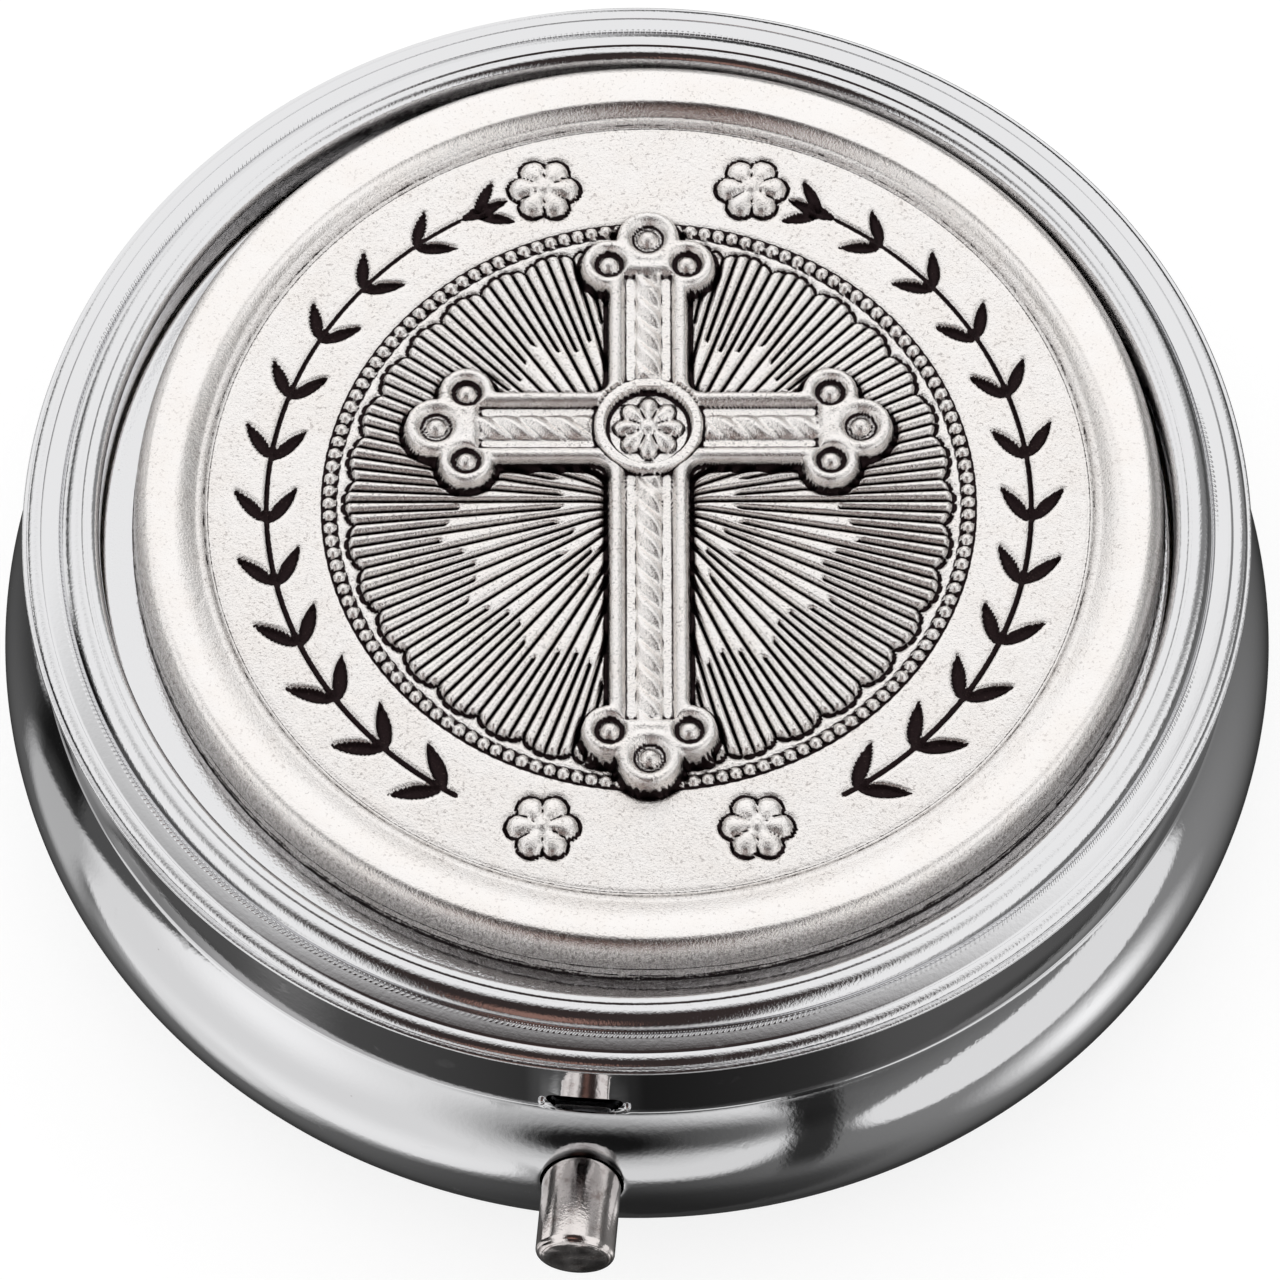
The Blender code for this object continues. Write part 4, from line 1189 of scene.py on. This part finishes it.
def add_rosette(relief, centre, radius, petals, high):
    """A round flower with a domed eye."""
    rows, gap, turn = relief.around(centre, radius * 1.6)
    lobes = np.abs(np.cos(turn * petals / 2))
    edge = radius * (0.74 + 0.26 * lobes**0.7)
    inside = smooth(0.0, -0.00012, gap - edge)
    hollow = 0.55 + 0.45 * np.sin(math.pi * np.clip(gap / edge, 0, 1)) * (0.35 + 0.65 * lobes)
    seams = 1 - 0.75 * ridge(lobes, 0.16)
    eye = dome(gap, radius * 0.28) * high * 1.15
    petal = inside * high * hollow * seams
    moat = ridge(gap - edge - 0.00007, 0.00008)
    part = relief.height[rows]
    flower = np.maximum(np.maximum(part, petal), eye)
    relief.height[rows] = np.where(gap < edge, flower, part - 0.00012 * moat)
    relief.blacken(0.9 * moat, rows)


def cord(off, twist, within):
    """Height of a twisted cord in millimetres, from the distance to its axis and its turns."""
    strands = 0.5 + 0.5 * np.cos(FULL_TURN * twist)
    return dome(off, 0.00052) * (0.10 + 0.20 * strands**0.7) * within


def add_cross(relief):
    """The budded cross: raised border, sunk panels with a twisted cord, boss and pellets."""
    x, y = relief.x, relief.y
    gap = cross_gap(x, y)
    wall = smooth(0.0, -0.00016, gap)
    border = 0.00078 + 0.00012 * ridge(gap + 0.00036, 0.00022)
    panel_edge = smooth(-0.00058, -0.00076, gap)
    panel = 0.00056
    body = wall * (border * (1 - panel_edge) + panel * panel_edge)
    rise = y - BEAM
    upright = cord(x, y / 0.00105 + x / 0.0011, np.abs(y) < 0.0102)
    beam = cord(rise, x / 0.00105 + rise / 0.0011, np.abs(x) < 0.0068)
    clear = smooth(0.0021, 0.0024, np.hypot(x, rise))
    body = body + 0.001 * np.maximum(upright, beam) * clear * panel_edge
    relief.height = np.where(gap < 0, np.maximum(relief.height, body), relief.height)
    moat = ridge(gap - 0.00007, 0.00009)
    relief.height -= np.where(gap > 0, 0.00012 * moat, 0)
    relief.dark = np.where(gap > 0, np.maximum(relief.dark, moat), 0)
    relief.rayed = np.where(gap > 0, relief.rayed, 0)
    add_boss(relief, (0, BEAM))
    for centre, _ in cross_buds():
        add_stud(relief, centre)


def add_boss(relief, centre):
    """Round boss where the arms meet, with an eight-petalled flower in a ring."""
    rows, gap, turn = relief.around(centre, 0.0030)
    ring = 0.00090 * smooth(0.0023, 0.0021, gap) * smooth(0.0016, 0.00175, gap)
    lobes = np.abs(np.cos(turn * 4))
    edge = 0.0010 + 0.00045 * lobes**0.7
    hollow = np.sin(math.pi * np.clip(gap / edge, 0, 1))
    petals = smooth(0.0, -0.0001, gap - edge) * (0.00062 + 0.0002 * lobes * hollow)
    eye = 0.00042
    ball = np.where(gap < eye, dome(gap, eye) * 0.00028 + 0.00060, 0)
    floor = 0.00046 * smooth(0.0023, 0.0022, gap)
    boss = np.maximum(np.maximum(floor, petals), np.maximum(ring, ball))
    relief.height[rows] = np.where(gap < 0.0022, boss, relief.height[rows])


def add_stud(relief, centre):
    """Sunk round panel of a bud with a dome in its middle."""
    ball = 0.00040
    panel = 0.00070
    rows, gap, _ = relief.around(centre, 0.0012)
    part = relief.height[rows]
    sunk = np.minimum(part, 0.00056 + 0.00030 * smooth(0.00056, panel, gap))
    raised = 0.00052 + dome(gap, ball) * 0.00034
    relief.height[rows] = np.where(gap < ball, raised, np.where(gap < panel, sunk, part))


def medallion_relief(sizes):
    """Heights of the whole face, with what is blackened and what is rayed."""
    relief = Relief(0.0180, 901)
    add_rim_foot(relief, sizes)
    add_ground(relief, sizes)
    add_beads(relief, sizes)
    add_sprays(relief, sizes)
    for degrees in (74, 106, 254, 286):
        turn = math.radians(degrees)
        centre = (sizes.spray * math.cos(turn), sizes.spray * math.sin(turn))
        add_rosette(relief, centre, 0.0014, 6, 0.00032)
    add_cross(relief)
    near = relief.blurred(0.00012) - relief.height
    relief.dark = np.clip(relief.dark + np.clip(near * 12000 - 0.08, 0, 0.9) * (1 - relief.rayed), 0, 1)
    return relief


def rim_section(sizes):
    """Rows of the rim: radius, height, coarseness, blackening, raggedness and how far its back moves in. The
    blackening is oxide on the step and the side, and painted shade at the foot.
    """
    field = sizes.field_radius
    crest = sizes.rim - sizes.field
    side = sizes.radius - 0.00012
    step = (
        (-0.00008, 0.0, 0.45, 0.05),
        (0.00001, 0.00002, 0.62, 0.50),
        (0.00006, 0.00007, 0.62, 0.36),
        (0.00011, 0.00012, 0.60, 0.12),
        (0.00018, 0.000145, 0.58, 0.04),
        (0.00027, 0.000155, 0.50, 0.0),
    )
    rows = [(field + out, high, cast, black, 0.0, 0.0) for out, high, cast, black in step]
    ledge = 0.00016
    for part in np.linspace(0.04, 1, 13):
        out = field + 0.00030 + 0.0015 * part
        high = ledge + (crest - ledge) * math.sin(part * QUARTER_TURN)
        rows.append((out, high, 0.42 - 0.30 * part, 0.0, 0.0, 0.0009 * part))
    roll = (0.00072, 0.00110)
    centre = (side - roll[0], crest - roll[1])
    rows.append((centre[0] - 0.00012, crest, 0.12, 0.0, 0.0, 0.0))
    for radius, high in arc(centre, roll, math.radians(88), math.radians(6), 24):
        share_down = (crest - high) / roll[1]
        rows.append((radius, high, 0.2 + 0.8 * min(1, share_down * 1.7), 0.0, 0.12 * share_down, 0.0))
    # The last rows here and the foot's rows below are blackened as painted shade in the gap beside the
    # recess wall; the rows above them carry oxide lines.
    lower = (
        (0.0, -0.00070, 0.12, 0.4),
        (0.00001, -0.00077, 0.66, 0.5),
        (0.00002, -0.00084, 0.30, 0.6),
        (0.00003, -0.00096, 0.06, 1.0),
        (0.00005, -0.00108, 0.10, 1.0),
        (0.00007, -0.00118, 0.66, 0.7),
        (0.00008, -0.00124, 0.44, 0.7),
        (0.00010, -0.00132, 0.60, 0.9),
        (0.00012, -0.00141, 0.84, 0.5),
    )
    rows += [(side + out, high, 1.0, black, ragged, 0.0) for out, high, black, ragged in lower]
    base = sizes.base - sizes.field
    rows.append((sizes.radius, base + 0.00004, 0.6, 0.55, 0.0, 0.0))
    rows.append((sizes.radius - 0.00004, base, 0.3, 0.15, 0.0, 0.0))
    return rows


def ripple(turns, seed, end, start):
    """Smooth random waves round a full turn, at most 1 high."""
    chance = np.random.default_rng(seed)
    total = np.zeros_like(turns)
    for wave in range(start, end):
        total += chance.normal() * np.cos(wave * turns + chance.uniform(0, FULL_TURN)) / wave**0.5
    return total / np.abs(total).max()


def make_medallion(sizes, silver):
    """The cast medallion as one closed casting."""
    relief = medallion_relief(sizes)
    columns = sizes.ribs * 6
    turns = even_angles(columns)
    inner = np.linspace(0.0003, 0.0134, 132, endpoint=False)
    outer = np.linspace(0.0134, sizes.field_radius - 0.00014, 38)
    radii = np.concatenate((inner, outer))[:, None]
    x = radii * np.cos(turns)
    y = radii * np.sin(turns)
    face = np.stack((x, y, sizes.field + relief.sample(relief.height, x, y)), axis=-1)
    dark = relief.sample(relief.dark, x, y)
    rings = [face]
    rayed = relief.sample(relief.rayed, x, y)
    layers = {"oxide_and_shade": [dark], "cast": [np.full_like(dark, 0.42)], "rayed": [rayed]}
    back = smooth(-0.6, 0.6, np.sin(turns))
    for number, (radius, high, cast, black, ragged, narrow) in enumerate(rim_section(sizes)):
        inward = np.abs(ripple(turns, 40 + number, 430, 20)) * 0.00006 * ragged
        lift = ripple(turns, 90 + number, 430, 20) * 0.00005 * ragged
        out = radius - inward - narrow * back
        ring = np.stack((out * np.cos(turns), out * np.sin(turns), sizes.field + high + lift), axis=-1)
        rings.append(ring[None])
        # Blackening that wavers round the ring: oxide, and painted shade at the foot.
        ragged_blackening = black + 0.5 * black * ripple(turns, 140 + number, 300, 9)
        layers["oxide_and_shade"].append(np.clip(ragged_blackening, 0, 1)[None])
        layers["cast"].append(np.full((1, columns), cast))
        layers["rayed"].append(np.zeros((1, columns)))
    grid = np.concatenate(rings)
    centre = np.zeros(1)
    top = sizes.field + float(relief.sample(relief.height, centre, centre)[0])
    points = np.concatenate((grid.reshape(-1, 3), [(0, 0, top), (0, 0, sizes.base)]))
    points = points @ np.array(Matrix.Rotation(sizes.turn, 3, "Z")).T + np.array(sizes.shift)
    item = make_mesh("medallion_casting", points, ring_faces(*grid.shape[:2]), silver, math.radians(60))
    for name, parts in layers.items():
        values = np.concatenate([part.reshape(-1) for part in parts] + [np.zeros(2)])
        layer = item.data.attributes.new(name, "FLOAT", "POINT")
        layer.data.foreach_set("value", values.astype(np.float32))
    return item


def pan_section(sizes):
    """Section of the dish: underside and outside to the flange, then back inside."""
    low = sizes.floor
    outer = sizes.wall
    roll = sizes.corner
    flange = sizes.flange
    inner = outer - sizes.sheet
    top = flange + sizes.sheet
    corner = (outer - roll, low + roll)
    return join(
        [(0, low), (outer - roll - 0.0004, low)],
        arc(corner, roll, -QUARTER_TURN, 0, 18),
        along((outer, low + roll + 0.0003), (outer, flange - 0.0003), 0.002),
        [(outer + 0.00008, flange - 0.00008), (outer + 0.0003, flange)],
        [(sizes.edge, flange), (sizes.edge, top)],
        arc((outer + 0.0003, top - 0.0006), (0.00065, 0.0006), QUARTER_TURN, HALF_TURN, 6),
        along((inner, flange - 0.0006), (inner, low + roll), 0.002),
        arc(corner, roll - sizes.sheet, 0, -QUARTER_TURN, 18)[1:],
        [(0, low + sizes.sheet)],
    )


def make_pan(sizes, metal):
    """The dish inside the bowl, with room for the latch and the hinge."""
    pan = lathe("pan", pan_section(sizes), even_angles(256), metal)
    latch = block("latch_room", (-0.0016, -0.0245, 0.0120), (0.0016, -0.02115, 0.0140))
    hinge = block("hinge_room", (-0.0047, 0.0220, 0.0120), (0.0047, 0.0245, 0.0140))
    return cut(pan, [latch, hinge])


def make_button(sizes, height, metal):
    """The turned button with its domed face, flange, step and peened stem."""
    tip = sizes.tip
    radius = sizes.radius
    roll = sizes.edge
    face_edge = tip - 0.00008
    flange = sizes.flange
    back = flange - 0.0004
    wide = sizes.flange_radius
    stem = sizes.stem
    section = join(
        [(0, tip), (0.0006, tip - 0.00001), (0.0011, tip - 0.00004), (radius - roll, face_edge)],
        arc((radius - roll, face_edge - roll), roll, QUARTER_TURN * 0.94, 0, 9),
        along((radius, tip - 0.0005), (radius, flange), 0.0006),
        [(wide - 0.00002, flange), (wide, flange - 0.00003), (wide, back), (0.0011, back)],
        [(0.0011, 0.0227), (stem, 0.0227), (stem, 0.0220)],
        [(0.0008, 0.0220), (0.0008, 0.0219), (stem, 0.02185), (0, 0.02185)],
    )
    button = lathe("button", section, even_angles(72), metal)
    button.data.transform(Matrix.Translation((0, 0, height)) @ Matrix.Rotation(QUARTER_TURN, 4, "X"))
    return button


def coil_steps(steps, start, turns):
    """Share of the length, cosine and sine at each step of a coil."""
    for part in np.linspace(0, 1, steps + 1):
        angle = start + FULL_TURN * turns * part
        yield part, math.cos(angle), math.sin(angle)


def make_hinge_spring(sizes, metal):
    """The torsion spring round the hinge pin."""
    radius = sizes.hinge_coil
    turns = 2.5
    half = 0.0007 * turns / 2
    points = []
    for part, out, up in coil_steps(100, FRONT, turns):
        points.append((half * (2 * part - 1), sizes.hinge_y + radius * out, sizes.hinge_z + radius * up))
    x, y, z = points[0]
    low_leg = [(x, y - reach, z) for reach in (0.0018, 0.0013, 0.0008, 0.0004, 0.0002)]
    leg_y = 0.0231
    high_leg = [(half, leg_y + 0.00012, 0.01425), (half, leg_y, 0.01435), (half, leg_y, 0.0147)]
    return tube("hinge_spring_wire", low_leg + points + high_leg, sizes.hinge_wire, metal)


def make_button_spring(sizes, height, metal):
    """The coil behind the button."""
    radius = sizes.button_coil
    front = 0.0219
    back = 0.0198
    points = []
    for part, out, up in coil_steps(90, 0.0, 2.5):
        points.append((radius * out, -front + (front - back) * part, height + radius * up))
    return tube("button_spring_wire", points, sizes.button_wire, metal)


def round_edges(node, material, width):
    """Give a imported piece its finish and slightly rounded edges."""
    item = frame["nodes"][node]
    item.data.materials.clear()
    item.data.materials.append(material)
    bevel = item.modifiers.new("edge", "BEVEL")
    bevel.width = width
    bevel.segments = 2
    bevel.limit_method = "ANGLE"
    bevel.angle_limit = math.radians(50)
    bevel.harden_normals = False


# Stage


def make_floor(material):
    """The pale floor, which leaves the polished metal to the tent."""
    half = 3.0
    floor = block("floor", (-half, -half, -0.004), (half, half, -0.00002))
    floor.data.materials.append(material)
    floor.visible_glossy = False
    return floor


def patch(finish, across, up, row):
    """Soft patch of the tent: centre, half sizes, lean, squareness and softness, in degrees."""
    centre_across, centre_up, half_across, half_up, lean, square, soft = row
    turn = math.radians(lean)
    side = across - centre_across
    rise = up - centre_up
    first = ((side * math.cos(turn) + rise * math.sin(turn)) / half_across).maths("ABSOLUTE")
    second = ((rise * math.cos(turn) - side * math.sin(turn)) / half_up).maths("ABSOLUTE")
    gap = (first**square + second**square) ** (1 / square)
    return 1 - finish.step(gap, 1 - soft, 1 + soft)


def band(finish, value, rise, fall):
    """Mask of what lies between a rise and a fall."""
    return finish.step(value, *rise) * (1 - finish.step(value, *fall))


def tent_below(finish, azimuth, elevation):
    """Light of the tent's lower part: windows round the front, cards, a bar and the camera's underside."""
    light = finish.number(0.032)
    for *row, level in WINDOWS:
        light = light + (level - light) * patch(finish, azimuth, elevation, row)
    for *row, level in CARDS:
        light = light * (1 - patch(finish, azimuth, elevation, row) * level)
    above_seam = elevation - azimuth * 0.72
    behind = band(finish, azimuth, (-179, -168), (-106, -98))
    light = light + (0.95 - light) * finish.step(above_seam, 57.4, 61.4) * behind
    bar = patch(finish, azimuth, elevation, BAR) * 0.85
    under = patch(finish, azimuth, elevation, UNDER_CAMERA) * 0.55
    light = light * (1 - (bar + under).maths("MINIMUM", 1.0))
    left = band(finish, azimuth, (-106, -98), (-55, -40))
    return light * (1 - finish.step(above_seam, 41.4, 45.4) * left * 0.9)


def tent_above(finish, azimuth, elevation, person):
    """Light of the tent's upper part: white, with soft shades and a dark standing shape."""
    light = finish.number(1.02)
    for *row, level in SHADES:
        light = light * (1 - patch(finish, azimuth, elevation, row) * level)
    return light * (1 - person * 0.985)


def tent_finish():
    """Lining of a photographer's tent, drawn by direction from its middle."""
    finish = Finish("tent_lining", roughness=1.0)
    place = finish.add("ShaderNodeVectorMath", {"operation": "NORMALIZE"}, [finish.place()])
    x, y, z = finish.parts(place)
    degree = math.degrees(1)
    azimuth = finish.turn(x, -y) * degree
    elevation = z.maths("ARCSINE") * degree
    over = finish.turn(z, -y) * degree
    person = patch(finish, x * degree, over, PERSON)
    below = tent_below(finish, azimuth, elevation)
    above = tent_above(finish, azimuth, elevation, person)
    sky = finish.step(elevation, 5, 13)
    light = below + (above - below) * sky
    grey = finish.node("ShaderNodeCombineColor", sockets=[light, light, light]).outputs[0]
    brown = finish.mix(person * sky, (0, 0, 0), (0.018, 0.008, 0.007))
    warm = finish.mix(patch(finish, x * degree, over, WARM_SIDE) * 0.5, (0, 0, 0), (0.55, 0.30, 0.24))
    tinted = finish.node("ShaderNodeVectorMath", {"operation": "ADD"}, [grey, brown]).outputs[0]
    total = finish.node("ShaderNodeVectorMath", {"operation": "ADD"}, [tinted, warm]).outputs[0]
    finish.set("Base Color", (0.0, 0.0, 0.0))
    finish.set("Emission Color", total)
    finish.set("Emission Strength", 1.0)
    finish.material.cycles.emission_sampling = "NONE"
    return finish.material


def make_tent(material):
    """A round tent that only polished metal sees."""
    shape = bmesh.new()
    bmesh.ops.create_uvsphere(shape, u_segments=96, v_segments=48, radius=0.9)
    tent = put_shape("tent", shape)
    tent.data.materials.append(material)
    tent.location = (0, 0, 0.012)
    tent.visible_camera = False
    tent.visible_diffuse = False
    tent.visible_shadow = False
    tent.visible_transmission = False
    return tent


def aim_camera(settings):
    """Set the camera where the photograph was taken from."""
    rise = settings.elevation
    turn = settings.azimuth
    target = Vector((0, 0, 0.0162))
    out = Vector((math.sin(turn) * math.cos(rise), -math.cos(turn) * math.cos(rise), math.sin(rise)))
    data = bpy.data.cameras.new("camera")
    camera = bpy.data.objects.new("camera", data)
    bpy.context.scene.collection.objects.link(camera)
    data.sensor_width = 36.0
    data.lens = settings.scale * settings.distance / PICTURE_SIDE * data.sensor_width
    data.clip_start = 0.01
    data.clip_end = 20.0
    camera.location = target + out * settings.distance
    side = Vector((math.cos(turn), math.sin(turn), 0))
    up = out.cross(side)
    across, down = ((PICTURE_SIDE / 2 - place) / settings.scale for place in LID_IN_PICTURE)
    middle = target + side * across - up * down
    camera.rotation_euler = (camera.location - middle).to_track_quat("Z", "Y").to_euler()
    bpy.context.scene.camera = camera


def light_world(strength):
    """Even white surroundings."""
    world = bpy.data.worlds.new("studio")
    world.use_nodes = True
    background = world.node_tree.nodes["Background"]
    background.inputs["Color"].default_value = (1.0, 1.0, 1.0, 1.0)
    background.inputs["Strength"].default_value = strength
    bpy.context.scene.world = world


# Operators


def group(name):
    """The settings of one property group."""
    return getattr(bpy.context.scene, name)


def stand_for(item, node):
    """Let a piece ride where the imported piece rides, and show it in its place."""
    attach(item, body_of(node))
    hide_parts(node)


def body_of(node):
    """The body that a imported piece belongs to."""
    for body, nodes in frame["record"]["behaviour"]["bodies"].items():
        if node in nodes:
            return body
    raise ValueError(f"no body holds {node}")


class ROSARY_OT_bowl(Operator):
    """Make the chromed bowl"""

    bl_idname = "rosary.bowl"
    bl_label = "Bowl"

    def execute(self, context):
        sizes = group("rosary_bowl")
        item = make_bowl(sizes, chrome_finish(group("rosary_colours"), sizes))
        stand_for(item, "base_bowl")
        return {"FINISHED"}


class ROSARY_OT_lid(Operator):
    """Make the chromed lid and its lining"""

    bl_idname = "rosary.lid"
    bl_label = "Lid"

    def execute(self, context):
        sizes = group("rosary_lid")
        colours = group("rosary_colours")
        stand_for(make_lid(sizes, lid_finish(colours, sizes)), "lid_shell")
        lining = spun_finish("lining_steel", colours.steel, 0.000004, 0.14)
        stand_for(make_lining(sizes, lining), "lid_inner_plate")
        return {"FINISHED"}


class ROSARY_OT_medallion(Operator):
    """Make the cast medallion"""

    bl_idname = "rosary.medallion"
    bl_label = "Medallion"

    def execute(self, context):
        sizes = group("rosary_medallion")
        item = make_medallion(sizes, silver_finish(group("rosary_colours"), sizes))
        stand_for(item, "medallion")
        round_edges("medallion_adhesive", resin_finish(), 0.00005)
        return {"FINISHED"}


class ROSARY_OT_pan(Operator):
    """Make the dish inside the bowl"""

    bl_idname = "rosary.pan"
    bl_label = "Inner pan"

    def execute(self, context):
        metal = spun_finish("pan_steel", group("rosary_colours").steel, 0.000005, 0.12)
        stand_for(make_pan(group("rosary_pan"), metal), "inner_pan")
        return {"FINISHED"}


class ROSARY_OT_button(Operator):
    """Make the turned push button"""

    bl_idname = "rosary.button"
    bl_label = "Button"

    def execute(self, context):
        metal = nickel_finish(group("rosary_colours"))
        item = make_button(group("rosary_button"), group("rosary_bowl").hole_height, metal)
        stand_for(item, "push_button")
        return {"FINISHED"}


class ROSARY_OT_springs(Operator):
    """Make the hinge spring and the button spring"""

    bl_idname = "rosary.springs"
    bl_label = "Springs"

    def execute(self, context):
        sizes = group("rosary_springs")
        metal = drawn_finish("spring_wire", group("rosary_colours").spring, 0.22)
        stand_for(make_hinge_spring(sizes, metal), "hinge_spring")
        coil = make_button_spring(sizes, group("rosary_bowl").hole_height, metal)
        stand_for(coil, "button_spring")
        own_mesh(coil)
        return {"FINISHED"}


class ROSARY_OT_works(Operator):
    """Finish the hinge, latch and bracket"""

    bl_idname = "rosary.works"
    bl_label = "Hinge and latch"

    def execute(self, context):
        colours = group("rosary_colours")
        plated = drawn_finish("plated_stamping", colours.steel, 0.16)
        sprung = drawn_finish("sprung_strip", colours.spring, 0.24)
        for node in ("base_hinge_leaf", "lid_hinge_leaf", "lid_striker", "spring_bracket", "slide_washer"):
            round_edges(node, plated, 0.00004)
        round_edges("hinge_pin", plated, 0.00008)
        round_edges("latch_slide", sprung, 0.00004)
        return {"FINISHED"}


class ROSARY_OT_stage(Operator):
    """Set the surroundings, floor, tent and camera"""

    bl_idname = "rosary.stage"
    bl_label = "Stage"

    def execute(self, context):
        settings = group("rosary_studio")
        light_world(settings.white)
        make_floor(paper_finish())
        make_tent(tent_finish())
        aim_camera(settings)
        return {"FINISHED"}


OPERATORS = (
    ROSARY_OT_bowl,
    ROSARY_OT_lid,
    ROSARY_OT_medallion,
    ROSARY_OT_pan,
    ROSARY_OT_button,
    ROSARY_OT_springs,
    ROSARY_OT_works,
    ROSARY_OT_stage,
)


class ROSARY_PT_panel(Panel):
    """Lists the operators and the sizes"""

    bl_label = "Rosary box"
    bl_idname = "ROSARY_PT_panel"
    bl_space_type = "VIEW_3D"
    bl_region_type = "UI"
    bl_category = "Rosary box"

    def draw(self, context):
        for operator in OPERATORS:
            self.layout.operator(operator.bl_idname)
        for name, kind in GROUPS.items():
            box = self.layout.box()
            settings = getattr(context.scene, name)
            for key in kind.__annotations__:
                box.prop(settings, key)


CLASSES = (*GROUPS.values(), *OPERATORS, ROSARY_PT_panel)


def register():
    """Register every class and hang the settings on the scene."""
    for kind in CLASSES:
        bpy.utils.register_class(kind)
    for name, kind in GROUPS.items():
        setattr(bpy.types.Scene, name, PointerProperty(type=kind))


def unregister():
    """Take the settings and classes away again."""
    for name in GROUPS:
        delattr(bpy.types.Scene, name)
    for kind in reversed(CLASSES):
        bpy.utils.unregister_class(kind)


def main():
    """Make every piece in order."""
    register()
    for operator in OPERATORS:
        family, name = operator.bl_idname.split(".")
        getattr(getattr(bpy.ops, family), name)()
    bpy.context.scene.view_settings.view_transform = "Standard"


if __name__ == "__main__":
    main()
